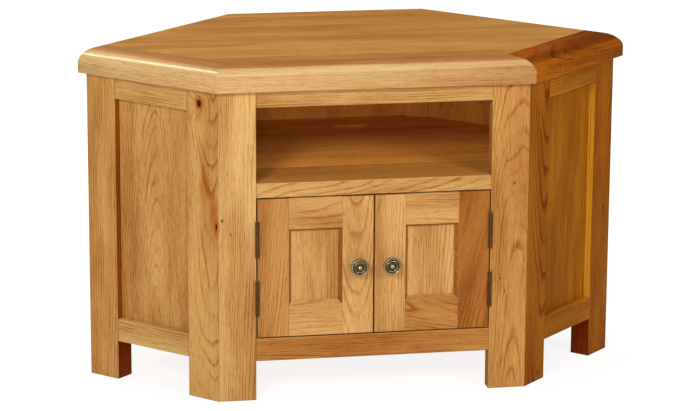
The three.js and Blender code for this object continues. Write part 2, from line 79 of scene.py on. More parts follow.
MM = 0.001
RIGHT = Vector((1, 0, 0))
REAR = Vector((0, 1, 0))
UP = Vector((0, 0, 1))
SIDE_TURN = math.radians(45)
HANDS = (("left", -1), ("right", 1))
LEVELS = ("upper", "lower")

# Copies of frame nodes: vertices closer than this are one, and faces flatter than this are one
MERGE_DISTANCE = 0.01 * MM
FLAT_ANGLE = math.radians(0.6)
ARRIS_ANGLE = math.radians(28)
SHORTEST_ARRIS = 4 * MM
SMOOTH_ANGLE = math.radians(27)
ARRIS_SEGMENTS = 2
ROUND_PROFILE = 0.5


def srgb(*levels):
    """A colour given as it looks, 0 to 255, as the linear values that a shader takes."""
    return tuple(Color([level / 255 for level in levels]).from_srgb_to_scene_linear())


def setting(description, default, kind=FloatProperty, **options):
    """A setting that still waits for its name"""
    return partial(kind, description=description, default=default, **options)


def colour_setting(description, *levels):
    return setting(description, srgb(*levels), FloatVectorProperty, subtype="COLOR", size=3, min=0, max=1)


def length_setting(description, millimetres):
    return setting(description, millimetres * MM, unit="LENGTH", subtype="DISTANCE", precision=5)


def share_setting(description, default):
    return setting(description, default, subtype="FACTOR", min=0, max=1)


def angle_setting(description, degrees):
    return setting(description, math.radians(degrees), unit="ROTATION", subtype="ANGLE")


def count_setting(description, default):
    return setting(description, default, IntProperty, min=1)


def named(group):
    """Gives each setting of a group the name that its identifier spells."""
    for identifier, waiting in group.__annotations__.items():
        group.__annotations__[identifier] = waiting(name=identifier.replace("_", " ").title())
    return group


# Settings


@named
class OakSettings(bpy.types.PropertyGroup):
    """Colours and figure of the oak boards"""

    honey_light: colour_setting("Pale wood of the front and the left side", 216, 179, 114)
    honey_dark: colour_setting("Dark streaks of the front and the left side", 154, 97, 34)
    # Partly painted shade: the right side's oak is a deeper, more saturated copy of the front's, partly its
    # own tone and partly the shade of the side turned away from the lamps
    amber_light: colour_setting("Pale wood of the right side", 198, 136, 36)
    amber_dark: colour_setting("Dark streaks of the right side", 138, 72, 3)
    # Painted shade: the flat of the top is a deeper, more saturated copy of the front's oak, for the shade on
    # the level top
    top_light: colour_setting("Pale wood of the flat of the top", 212, 163, 90)
    top_dark: colour_setting("Dark streaks of the flat of the top", 168, 104, 42)
    edge_light: colour_setting("Pale wood of the edge boards of the top", 222, 189, 134)
    edge_dark: colour_setting("Dark streaks of the edge boards of the top", 172, 120, 62)
    brown_light: colour_setting("Pale wood of the brown edge board", 198, 124, 32)
    brown_dark: colour_setting("Dark streaks of the brown edge board", 88, 40, 4)
    door_light: colour_setting("Pale wood of the doors", 208, 165, 102)
    door_dark: colour_setting("Dark streaks of the doors", 150, 92, 30)
    # Painted light: the bay's oak is a paler, more saturated copy of the front's, to make up for the little
    # light that reaches into the bay
    inside_light: colour_setting("Pale wood of the bay", 255, 182, 84)
    inside_dark: colour_setting("Dark streaks of the bay", 208, 132, 46)
    pore: colour_setting("The open pores of the early wood", 120, 68, 26)
    knot: colour_setting("The heart of a knot", 58, 18, 8)
    knot_halo: colour_setting("The wood around a knot", 178, 84, 14)
    arris: length_setting("How far the edges of the boards are eased", 0.9)
    ring_pitch: length_setting("Growth of the tree in a year", 3.3)
    wander: length_setting("How far the rings wander from a circle", 5.0)
    lacquer_roughness: share_setting("Roughness of the satin lacquer", 0.42)


@named
class TopSettings(bpy.types.PropertyGroup):
    """The top's edge boards, whose section is ruled by an elliptical nose"""

    board_width: length_setting("Width of an edge board", 80)
    nose_width: length_setting("How far the nose reaches in from the edge", 42)
    nose_height: length_setting("How far the nose falls below the top", 20)
    lower_arris: length_setting("Radius of the lower edge", 3)
    mitre_gap: length_setting("Gap at the mitres", 0.3)
    nose_steps: count_setting("Facets of the nose", 32)
    arris_steps: count_setting("Facets of the lower edge", 5)
    stave_width: length_setting("Width of the staves that the field is glued up from", 92)


@named
class KnobSettings(bpy.types.PropertyGroup):
    """The turned knobs"""

    segments: count_setting("Facets around a knob", 96)
    brass: colour_setting("Polished edges of the antique brass", 190, 178, 138)
    tarnish: colour_setting("Tarnish in the hollows of the knob", 80, 73, 46)


@named
class HingeSettings(bpy.types.PropertyGroup):
    """The butt hinges and their screws"""

    bronze: colour_setting("Worn bronze of the hinges", 150, 116, 66)
    bronze_dark: colour_setting("Dark patina of the hinges", 64, 44, 18)
    leaf_face: length_setting("Distance of a leaf's open face from the hinge's axis", 0.2)
    screws: count_setting("Screws of each leaf", 3)
    screw_radius: length_setting("Radius of a countersunk head", 2.9)
    screw_proud: length_setting("How far a head stands above its leaf", 0.08)
    screw_depth: length_setting("How far a head goes into its leaf", 0.7)
    slot_width: length_setting("Width of the slot in a head", 0.7)
    slot_depth: length_setting("Depth of the slot in a head", 0.45)
    screw_segments: count_setting("Facets around a head", 28)
    margin: length_setting("Distance of the end screws from the ends of the leaf", 10)


@named
class StageSettings(bpy.types.PropertyGroup):
    """Floor, lamps and camera"""

    camera_turn: angle_setting("How far the camera stands to the left", 10.376)
    camera_tilt: angle_setting("How far the camera looks down", 14.443)
    camera_roll: angle_setting("How far the camera leans", -0.346)
    camera_distance: length_setting("Distance from the camera to its target", 5157.8)
    target_right: length_setting("The target's place from left to right", -43.9)
    target_up: length_setting("The target's height", 350.4)
    focal_pixels: setting("Focal length in pixels of the picture", 2936.5)
    picture_width: setting("Width of the picture in pixels", 700)
    floor_size: length_setting("Length of the floor's sides", 24000)
    floor_colour: colour_setting("Pale floor", 232, 231, 229)
    floor_glow: setting("How much the floor adds towards white for the camera", 0.86)
    floor_share: share_setting("How much of its own colour the camera sees on the floor", 0.3)
    floor_near: length_setting("Where the floor begins to fade into white", 450)
    floor_far: length_setting("Where the floor has faded into white", 1500)
    left_lamp: setting("Level of the left lamp; 1 lights a facing surface fully", 0.44)
    left_turn: angle_setting("How far the left lamp stands to the left", 28)
    right_lamp: setting("Level of the right lamp", 0.27)
    right_turn: angle_setting("How far the right lamp stands to the right", 31)
    fill_lamp: setting("Level of the lamp below the camera", 0.2)
    fill_rise: angle_setting("How high the fill lamp stands", 9.5)
    fill_size: length_setting("Length of the fill lamp's sides", 500)
    top_lamp: setting("Level of the lamp overhead", 0.24)
    rim_lamp: setting("Level of the lamp behind", 0.27)
    rim_turn: angle_setting("How far the rim lamp stands to the left", 157.7)
    rim_rise: angle_setting("How high the rim lamp stands", 47.1)
    rim_length: length_setting("Length of the rim lamp", 900)
    rim_width: length_setting("Width of the rim lamp", 360)
    plug_radius: length_setting("Radius of the disc that shuts the cable hole to light", 24.6)
    rim_colour: colour_setting("Warm light of the rim lamp", 255, 238, 210)
    room_colour: colour_setting("Warm light from all around", 255, 218, 172)
    lamp_rise: angle_setting("How high the lamps stand", 26)
    lamp_distance: length_setting("Distance of the lamps", 3400)
    lamp_size: length_setting("Length of the lamps' sides", 760)
    room: setting("Level of the light from all around", 0.16)


class CabinetSettings(bpy.types.PropertyGroup):
    """All settings of the cabinet"""

    oak: PointerProperty(type=OakSettings)
    top: PointerProperty(type=TopSettings)
    knob: PointerProperty(type=KnobSettings)
    hinge: PointerProperty(type=HingeSettings)
    stage: PointerProperty(type=StageSettings)


# Node trees

NODES_IN_ROW = 12
NODE_STEP = (200, -220)
# Places of the two sides and the result among the sockets of a mix node
MIX_SOCKETS = {"RGBA": (6, 7, 2), "FLOAT": (2, 3, 0)}
WHITE = (1, 1, 1)
BLACK = (0, 0, 0)


class Wiring:
    """Adds nodes to a tree and links them, so that a sum reads as calls."""

    def __init__(self, tree):
        self.tree = tree
        self.count = 0

    def node(self, kind, inputs=None, **settings):
        made = self.tree.nodes.new(kind)
        row, column = divmod(self.count, NODES_IN_ROW)
        made.location = (NODE_STEP[0] * column, NODE_STEP[1] * row)
        self.count += 1
        for name, value in settings.items():
            setattr(made, name, value)
        for name, value in (inputs or {}).items():
            self.feed(made.inputs[name], value)
        return made

    def feed(self, socket, value):
        if isinstance(value, bpy.types.NodeSocket):
            self.tree.links.new(value, socket)
        elif hasattr(socket.default_value, "__len__") and len(socket.default_value) == 4 and len(value) == 3:
            socket.default_value = (*value, 1)
        else:
            socket.default_value = value

    def math(self, operation, *values):
        return self.node("ShaderNodeMath", dict(enumerate(values)), operation=operation).outputs[0]

    def total(self, *values):
        return reduce(partial(self.math, "ADD"), values)

    def minus(self, first, second):
        return self.math("SUBTRACT", first, second)

    def times(self, first, second):
        return self.math("MULTIPLY", first, second)

    def vector(self, operation, *values):
        made = self.node("ShaderNodeVectorMath", dict(enumerate(values)), operation=operation)
        return made.outputs["Value" if operation == "LENGTH" else "Vector"]

    def parts(self, vector):
        return self.node("ShaderNodeSeparateXYZ", {0: vector}).outputs

    def joined(self, *values):
        return self.node("ShaderNodeCombineXYZ", dict(enumerate(values))).outputs[0]

    def noise(self, place, detail=2.0, roughness=0.5):
        inputs = {"Vector": place, "Scale": 1, "Detail": detail, "Roughness": roughness}
        return self.node("ShaderNodeTexNoise", inputs).outputs

    def rise(self, value, low, high, to_low=0.0, to_high=1.0):
        """A smooth step from to_low at low to to_high at high"""
        inputs = {"Value": value, "From Min": low, "From Max": high, "To Min": to_low, "To Max": to_high}
        return self.node("ShaderNodeMapRange", inputs, interpolation_type="SMOOTHSTEP").outputs[0]

    def mix(self, share, first, second, blend="MIX", kind="RGBA"):
        side, other, result = MIX_SOCKETS[kind]
        inputs = {0: share, side: first, other: second}
        return self.node("ShaderNodeMix", inputs, data_type=kind, blend_type=blend).outputs[result]

    def either(self, condition, when_true, when_false):
        return self.mix(condition, when_false, when_true, kind="FLOAT")

    def place(self):
        return self.node("ShaderNodeTexCoord").outputs["Object"]

    def attribute(self, name, output="Vector"):
        return self.node("ShaderNodeAttribute", attribute_name=name).outputs[output]

    def geometry(self, kind, inputs=None, **settings):
        return self.node(f"GeometryNode{kind}", inputs, **settings).outputs[0]

    def group(self, maker, inputs):
        """A node with a shared group, which its maker makes when it is first asked for"""
        name = maker.__name__.removesuffix("_group").replace("_", " ")
        tree = bpy.data.node_groups.get(name) or maker(name)
        return self.node("ShaderNodeGroup", inputs, node_tree=tree).outputs


SOCKETS = {
    "value": "NodeSocketFloat", "count": "NodeSocketInt", "vector": "NodeSocketVector",
    "colour": "NodeSocketColor", "material": "NodeSocketMaterial", "geometry": "NodeSocketGeometry",
}


def new_tree(name, kind, inputs, outputs):
    """An empty node tree, its wiring and its own sockets; inputs and outputs are the names for each kind."""
    tree = bpy.data.node_groups.new(name, kind)
    for in_out, sockets in (("INPUT", inputs), ("OUTPUT", outputs)):
        for socket_kind, titles in sockets.items():
            for title in titles.split(", "):
                tree.interface.new_socket(name=title, in_out=in_out, socket_type=SOCKETS[socket_kind])
    wiring = Wiring(tree)
    return tree, wiring, wiring.node("NodeGroupInput").outputs, wiring.node("NodeGroupOutput").inputs


FIGURE = "Ring, Pore, Cloud, Streak, Fleck"
# Noises of the figure: scale along the grain and across it, detail and roughness
FIGURE_NOISES = {
    "wander": (2.2, 9, 1.0, 0.5), "ripple": (9, 45, 2.0, 0.5), "dash": (60, 620, 1.0, 0.5),
    "cloud": (2.4, 14, 4.0, 0.58), "streak": (10, 420, 3.0, 0.65),
}
# How far the rings wander and ripple, as shares of the wander setting
WANDER_SHARE = 6.0
RIPPLE_SHARE = 0.5
# How unevenly the years grow: scale along the radius, and how many years at most
UNEVEN_SCALE = 130
UNEVEN_YEARS = 1.5
# Where the rings fade: scale along the radius, the grain and the side
FADING_SCALES = (90, 7, 14)
# Scales of the rays' flecks: along the grain, across it and into the board, and how much they lean
FLECK_SCALES = (150, 420, 60)
FLECK_LEAN = 0.6
# Smooth steps, each from, to, and the values there where they aren't 0 and 1
FADING_STEP = (0.36, 0.62, 0.15, 1.0)
LATE_WOOD_STEP = (0.0, 0.07)
EARLY_WOOD_STEP = (0.07, 0.42, 1.0, 0.0)
DASH_STEP = (0.52, 0.68)
PORE_ON_RING_STEP = (0.0, 0.7, 0.5, 1.0)
FLECK_STEP = (0.62, 0.74)
CLOUD_STEP = (0.32, 0.68)
STREAK_STEP = (0.25, 0.75)


def oak_figure_group(name):
    """Rings, pores and streaks of a board, from its place in the log: X along the grain, pith on X."""
    tree, w, given, made = new_tree(
        name, "ShaderNodeTree", {"vector": "Log", "value": "Ring Pitch, Wander, Bulge"}, {"value": FIGURE},
    )
    along, side, depth = w.parts(given["Log"])

    def grain_noise(title, output="Fac"):
        lengthwise, crosswise, *rest = FIGURE_NOISES[title]
        place = w.vector("MULTIPLY", given["Log"], (lengthwise, crosswise, crosswise))
        return w.noise(place, *rest)[output]

    def sway(noise, share):
        return w.times(w.minus(noise, 0.5), w.times(given["Wander"], share))

    def scaled(values, scales):
        return w.joined(*map(w.times, values, scales))

    wander = w.parts(grain_noise("wander", "Color"))
    off_pith = [w.total(place, sway(noise, WANDER_SHARE)) for place, noise in zip((side, depth), wander)]
    ripple = sway(grain_noise("ripple"), RIPPLE_SHARE)
    radius = w.total(w.vector("LENGTH", w.joined(*off_pith)), ripple, given["Bulge"])

    uneven = w.times(w.noise(w.joined(w.times(radius, UNEVEN_SCALE)), 1.0)["Fac"], UNEVEN_YEARS)
    year = w.math("FRACT", w.total(w.math("DIVIDE", radius, given["Ring Pitch"]), uneven))
    fading = w.noise(scaled((radius, along, side), FADING_SCALES), 1.0)["Fac"]
    line = w.times(w.rise(year, *LATE_WOOD_STEP), w.rise(year, *EARLY_WOOD_STEP))
    pore = w.times(w.rise(grain_noise("dash"), *DASH_STEP), w.rise(line, *PORE_ON_RING_STEP))
    fleck_place = scaled((w.total(along, w.times(side, FLECK_LEAN)), side, depth), FLECK_SCALES)

    w.feed(made["Ring"], w.times(line, w.rise(fading, *FADING_STEP)))
    w.feed(made["Pore"], pore)
    w.feed(made["Cloud"], w.rise(grain_noise("cloud"), *CLOUD_STEP))
    w.feed(made["Streak"], grain_noise("streak"))
    w.feed(made["Fleck"], w.rise(w.noise(fleck_place, 1.0)["Fac"], *FLECK_STEP))
    return tree


# A knot's rough outline: scales of its noise, and how far it strays
KNOT_SCALES = (420, 420, 160)
KNOT_STRAY = (2 * MM, 2 * MM, 4 * MM)
# Smooth steps over the distance in radii: the heart's edge, where the stain starts, how far rings are bent
HEART_STEP = (0.7, 1.15, 1.0, 0.0)
STAIN_START = 0.8
BEND_STEP = (0.0, 6.0, 1.0, 0.0)
BEND_RADII = 2.4


def knot_group(name):
    """A knot: its dark heart, the stained wood around it and how far it pushes the rings aside."""
    tree, w, given, made = new_tree(
        name, "ShaderNodeTree", {"vector": "Place, Centre", "value": "Radius, Length, Halo"},
        {"value": "Heart, Stain, Bulge"},
    )
    rough = w.noise(w.vector("MULTIPLY", given["Place"], KNOT_SCALES))["Color"]
    shifted = w.vector("SUBTRACT", given["Place"], given["Centre"])
    stray = w.vector("MULTIPLY", w.vector("SUBTRACT", rough, (0.5, 0.5, 0.5)), KNOT_STRAY)
    x, y, z = w.parts(w.vector("ADD", shifted, stray))
    flat = w.joined(x, y, w.math("DIVIDE", z, given["Length"]))
    reach = w.math("DIVIDE", w.vector("LENGTH", flat), given["Radius"])
    w.feed(made["Heart"], w.rise(reach, *HEART_STEP))
    w.feed(made["Stain"], w.rise(reach, STAIN_START, w.total(given["Halo"], 1.0), 1.0, 0.0))
    w.feed(made["Bulge"], w.times(w.rise(reach, *BEND_STEP), w.times(given["Radius"], BEND_RADII)))
    return tree


# Colours that a board's look multiplies in: the wood's own stain and warmth, and also painted light and shade
# where a look stands in for them
DEEP_STAIN_AND_SHADE = srgb(192, 156, 88)
EDGE_STAIN_AND_SHADE = srgb(230, 166, 74)
WARM_STAIN_AND_SHADING = srgb(255, 210, 136)
# How much each part of the figure darkens the wood, makes it rough and stands out of it
DARK_SHARES = {"Cloud": 0.56, "Streak": 0.36, "Pore": 0.18, "Stain": 0.5, "Tone": 0.3}
LIGHTEST = 0.18
ROUGH_SHARES = {"Streak": 0.08, "Pore": 0.15}
HEIGHT_SHARES = {"Streak": 0.3, "Pore": -1.0, "Ring": -0.25, "Heart": -2.0}
# How much the pores, a warm tone, a knot's halo and the painted highlight of an eased arris colour the wood
PORE_TINT = 0.28
WARM_TINT = 0.5
HALO_TINT = 0.75
ARRIS_HIGHLIGHT_TINT = 0.35


def oak_colour_group(name):
    """Colour, roughness and relief of oak, from its figure, its board's look and its knots; the look's tone,
    warmth and stain are partly the board's own and partly painted light and shade.
    """
    tree, w, given, made = new_tree(
        name, "ShaderNodeTree",
        {
            "colour": "Light, Dark, Pore Colour, Knot Colour, Halo Colour", "vector": "Board",
            "value": FIGURE + ", Heart, Stain, Arris, Roughness, Ring Share, Fleck Share",
        },
        {"colour": "Color", "value": "Roughness, Height"},
    )
    # The look at each corner: a tone, a warmth and a stain, each partly the board's own and partly painted
    # light and shade
    tone, warmth, edge = w.parts(given["Board"])
    figure = w.total(
        w.times(given["Cloud"], DARK_SHARES["Cloud"]),
        w.times(w.rise(given["Streak"], *STREAK_STEP), DARK_SHARES["Streak"]),
        w.times(given["Ring"], given["Ring Share"]),
        w.times(given["Pore"], DARK_SHARES["Pore"]),
        w.times(given["Stain"], DARK_SHARES["Stain"]),
        w.minus(w.times(tone, DARK_SHARES["Tone"]), LIGHTEST),
    )
    wood = w.mix(figure, given["Light"], given["Dark"])
    for share, colour, blend in (
        (tone, DEEP_STAIN_AND_SHADE, "MULTIPLY"),
        (w.times(given["Pore"], PORE_TINT), given["Pore Colour"], "MIX"),
        (w.times(warmth, WARM_TINT), WARM_STAIN_AND_SHADING, "MULTIPLY"),
        (edge, EDGE_STAIN_AND_SHADE, "MULTIPLY"),
        (w.times(given["Fleck"], given["Fleck Share"]), given["Light"], "MIX"),
        (w.times(given["Stain"], HALO_TINT), given["Halo Colour"], "MIX"),
        (given["Heart"], given["Knot Colour"], "MIX"),
        # Painted highlight: the eased arrises lighten towards the pale wood, except where a look stains them
        (w.times(given["Arris"], w.times(w.minus(1.0, edge), ARRIS_HIGHLIGHT_TINT)), given["Light"], "MIX"),
    ):
        wood = w.mix(share, wood, colour, blend)
    w.feed(made["Color"], wood)
    roughness = [w.times(given[part], share) for part, share in ROUGH_SHARES.items()]
    w.feed(made["Roughness"], w.total(given["Roughness"], *roughness))
    w.feed(made["Height"], w.total(*(w.times(given[part], share) for part, share in HEIGHT_SHARES.items())))
    return tree


PATINA_DETAIL = 4.0
PATINA_STEP = (0.35, 0.65)
PATINA_SHARE = 0.35
# Roughness of bright metal, and what full tarnish adds
METAL_ROUGHNESS = 0.32
TARNISH_ROUGHNESS = 0.2


def metal_patina_group(name):
    """Tarnish of metal: how much, from hollows and clouds, with the roughness and relief that go with it."""
    tree, w, given, made = new_tree(
        name, "ShaderNodeTree", {"vector": "Place", "value": "Hollow, Scale", "colour": "Bright, Dull"},
        {"colour": "Color", "value": "Roughness, Height"},
    )
    place = w.node("ShaderNodeVectorMath", {0: given["Place"], "Scale": given["Scale"]}, operation="SCALE")
    cloud = w.noise(place.outputs[0], PATINA_DETAIL)["Fac"]
    patch = w.times(w.rise(cloud, *PATINA_STEP), PATINA_SHARE)
    dull = w.math("MINIMUM", w.total(patch, given["Hollow"]), 1.0)
    w.feed(made["Color"], w.mix(dull, given["Bright"], given["Dull"]))
    w.feed(made["Roughness"], w.total(w.times(dull, TARNISH_ROUGHNESS), METAL_ROUGHNESS))
    w.feed(made["Height"], cloud)
    return tree


def new_material(name):
    material = bpy.data.materials.new(name)
    material.use_nodes = True
    material.node_tree.nodes.clear()
    wiring = Wiring(material.node_tree)
    shader = wiring.node("ShaderNodeBsdfPrincipled")
    wiring.node("ShaderNodeOutputMaterial", {"Surface": shader.outputs[0]})
    return material, wiring, shader.inputs


def lay_surface(w, shader, surface, strength, depth):
    """Feeds a shader the colour and roughness of a surface, and its height as relief."""
    relief = {"Height": surface["Height"], "Strength": strength, "Distance": depth}
    w.feed(shader["Base Color"], surface["Color"])
    w.feed(shader["Roughness"], surface["Roughness"])
    w.feed(shader["Normal"], w.node("ShaderNodeBump", relief).outputs[0])


# Knots: centre in the frame, radius, length as a share of the radius, reach and depth of the stain
BODY_KNOTS = (
    ((-306.0, -216.0, 536.5), 5.2, 1.4, 1.6, 0.9),
    ((-305.0, -217.0, 522.0), 0.6, 2.0, 20.0, 0.45),
    ((-281.9, -243.5, 320.3), 3.6, 2.6, 1.8, 0.9),
    ((-287.5, -241.0, 348.0), 0.3, 3.6, 48.0, 0.8),
    ((-300.0, -228.6, 392.0), 0.3, 3.0, 60.0, 0.5),
    ((-270.7, -244.5, 331.6), 1.6, 1.3, 1.2, 0.8),
    ((-255.9, -244.5, 305.7), 1.3, 1.3, 1.0, 0.8),
    ((252.1, -244.5, 379.6), 1.3, 1.4, 1.4, 0.8),
    ((229.1, -244.5, 205.8), 1.2, 1.4, 1.2, 0.8),
    ((236.9, -244.5, 181.3), 1.1, 1.4, 1.2, 0.8),
)
SHADE_KNOTS = (
    ((468.1, -53.9, 278.4), 1.8, 1.6, 2.0, 0.8),
    ((449.0, -73.0, 230.5), 1.6, 1.5, 2.0, 0.8),
    ((455.2, -66.8, 136.1), 1.4, 1.5, 1.6, 0.8),
)


def knots(w, places):
    """The strongest heart and stain of several knots, and the sum of their bulges"""
    heart, stain, bulge = 0.0, 0.0, 0.0
    for centre, radius, length, halo, depth in places:
        knot = w.group(knot_group, {
            "Place": w.place(), "Centre": Vector(centre) * MM, "Radius": radius * MM, "Length": length,
            "Halo": halo,
        })
        heart = w.math("MAXIMUM", knot["Heart"], heart)
        stain = w.math("MAXIMUM", w.times(knot["Stain"], depth), stain)
        bulge = w.total(knot["Bulge"], bulge)
    return heart, stain, bulge


# Finish: material slot, ring share, fleck share, lacquer on top, knots
OAK_FINISHES = {
    "honey": ("oak_body", 0.5, 0.0, 0.12, BODY_KNOTS),
    # The right side's oak: its own tone, and deepened too as painted shade
    "amber": ("oak_body", 0.8, 0.0, 0.0, SHADE_KNOTS),
    # The top's flat: deepened as painted shade of the level top
    "top": ("oak_top", 0.3, 0.0, 0.15, ()),
    "edge": ("oak_top", 0.34, 0.0, 0.22, ()),
    "brown": ("oak_dark", 0.35, 0.5, 0.0, ()),
    "door": ("oak_door", 0.5, 0.15, 0.12, ()),
    # The bay's oak: lightened as painted light
    "inside": ("oak_inside", 0.2, 0.0, 0.05, ()),
}
COAT_ROUGHNESS = 0.15
OAK_SPECULAR = 0.05
# Relief of each kind of surface: the bump's strength, and its depth
OAK_RELIEF = (0.5, 0.12 * MM)
METAL_RELIEF = (0.25, 0.05 * MM)
PLASTIC_RELIEF = (0.3, 0.05 * MM)
# Moulded plastic: scale of its grain, how much it darkens the colour, least roughness and what the grain adds
PLASTIC_GRAIN_SCALE = (1400, 1400, 1400)
PLASTIC_DARKENING = 0.25
PLASTIC_ROUGHNESS = 0.45
PLASTIC_GRAIN_ROUGHNESS = 0.2


def oak_material(name):
    """The oak of one finish, made when it is first asked for."""
    title = f"{name}_oak"
    if title in bpy.data.materials:
        return bpy.data.materials[title]
    settings = bpy.context.scene.cabinet.oak
    _, ring_share, fleck_share, coat, places = OAK_FINISHES[name]
    material, w, shader = new_material(title)
    heart, stain, bulge = knots(w, places)
    figure = w.group(oak_figure_group, {
        "Log": w.attribute("log"), "Bulge": bulge, "Ring Pitch": settings.ring_pitch,
        "Wander": settings.wander,
    })
    surface = w.group(oak_colour_group, {
        "Light": getattr(settings, f"{name}_light"), "Dark": getattr(settings, f"{name}_dark"),
        "Pore Colour": settings.pore, "Knot Colour": settings.knot, "Halo Colour": settings.knot_halo,
        "Board": w.attribute("board"), "Arris": w.attribute("arris", "Fac"), "Heart": heart, "Stain": stain,
        "Roughness": settings.lacquer_roughness, "Ring Share": ring_share, "Fleck Share": fleck_share,
        **{part.name: part for part in figure},
    })
    lay_surface(w, shader, surface, *OAK_RELIEF)
    shader["Coat Weight"].default_value = coat
    shader["Coat Roughness"].default_value = COAT_ROUGHNESS
    shader["Specular IOR Level"].default_value = OAK_SPECULAR
    return material


def metal_material(name, bright, dull, scale, hollow):
    """Metal with patina; hollow is how tarnished it is, or the attribute that says so."""
    material, w, shader = new_material(name)
    depth = w.attribute(hollow, "Fac") if isinstance(hollow, str) else hollow
    inputs = {"Place": w.place(), "Hollow": depth, "Bright": bright, "Dull": dull, "Scale": scale}
    lay_surface(w, shader, w.group(metal_patina_group, inputs), *METAL_RELIEF)
    shader["Metallic"].default_value = 1
    return material


def plastic_material(name, colour):
    """Moulded plastic with a fine grain"""
    material, w, shader = new_material(name)
    grain = w.noise(w.vector("MULTIPLY", w.place(), PLASTIC_GRAIN_SCALE))["Fac"]
    lay_surface(w, shader, {
        "Color": w.mix(w.times(grain, PLASTIC_DARKENING), colour, BLACK),
        "Roughness": w.total(w.times(grain, PLASTIC_GRAIN_ROUGHNESS), PLASTIC_ROUGHNESS), "Height": grain,
    }, *PLASTIC_RELIEF)
    return material


# Shapes


def merged_copy(node):
    """A copy of a frame node with whole faces instead of loose triangles."""
    shape = bmesh.new()
    shape.from_mesh(frame["nodes"][node].data)
    bmesh.ops.remove_doubles(shape, verts=shape.verts, dist=MERGE_DISTANCE)
    bmesh.ops.dissolve_limit(
        shape, angle_limit=FLAT_ANGLE, use_dissolve_boundaries=False, verts=shape.verts, edges=shape.edges
    )
    return shape


def ease_arrises(shape, width, arris_share=1.0):
    """Rounds the outer edges of a shape a little and marks the faces that this makes with the share of
    painted highlight that they take.
    """
    mark = shape.faces.layers.float.new("arris")
    edges = [
        edge
        for edge in shape.edges
        if edge.is_manifold
        and edge.calc_length() > SHORTEST_ARRIS
        and edge.calc_face_angle_signed() > ARRIS_ANGLE
    ]
    eased = bmesh.ops.bevel(
        shape, geom=edges, offset=width, offset_type="OFFSET", segments=ARRIS_SEGMENTS, profile=ROUND_PROFILE,
        affect="EDGES", clamp_overlap=True,
    )
    for face in eased["faces"]:
        face[mark] = arris_share


def smooth_where_round(shape):
    for face in shape.faces:
        face.smooth = True
    for edge in shape.edges:
        edge.smooth = edge.is_manifold and edge.calc_face_angle() < SMOOTH_ANGLE


def placed(name, data):
    """A new object in the scene"""
    made = bpy.data.objects.new(name, data)
    bpy.context.scene.collection.objects.link(made)
    return made


def object_from(shape, name):
    mesh = bpy.data.meshes.new(name)
    shape.to_mesh(mesh)
    shape.free()
    return placed(name, mesh)


def finished(piece, material, slot, body, *nodes):
    """Gives a piece its material, hides the frame nodes that it stands for, and hangs it on the body that it
    moves with.
    """
    piece.data.materials.clear()
    piece.data.materials.append(material)
    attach(piece, body)
    if nodes:
        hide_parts(*nodes)
    return piece


# How a board was sawn: the pith's place beside and below the middle of its face, and its slope along it
SAWN = {
    "flat": (3 * MM, 36 * MM, 0.09),
    "half": (-18 * MM, 60 * MM, 0.05),
    "wide": (-6 * MM, 46 * MM, 0.1),
    "swirled": (10 * MM, 40 * MM, 0.06),
    "rift": (58 * MM, 52 * MM, 0.02),
    "straight": (110 * MM, 90 * MM, 0.0),
}
# Metres along the log between boards, and between the staves of one board
BOARD_SPREAD = 40
STAVE_SPREAD = 9
# Factors that scatter the numbers of staves and boards over 0 to 1, and how many numbers the names share
STAVE_SCATTER, BOARD_SCATTER, SCATTER = 12.9898, 78.233, 43758.5453
NAME_NUMBERS = 997
# How much the staves of a glued board differ in tone
STAVE_VARIETY = 0.2
# Shares of a face's normal: upwards from which it counts as level, along the grain from which it is end
# grain, and out of the board's face up to which it is an edge
LEVEL_FROM = 0.8
END_FROM = 0.3
EDGE_UNTIL = 0.6
# A look is a tone, a warmth and a stain
END_LOOK = (0.5, 0.3, 0.5)


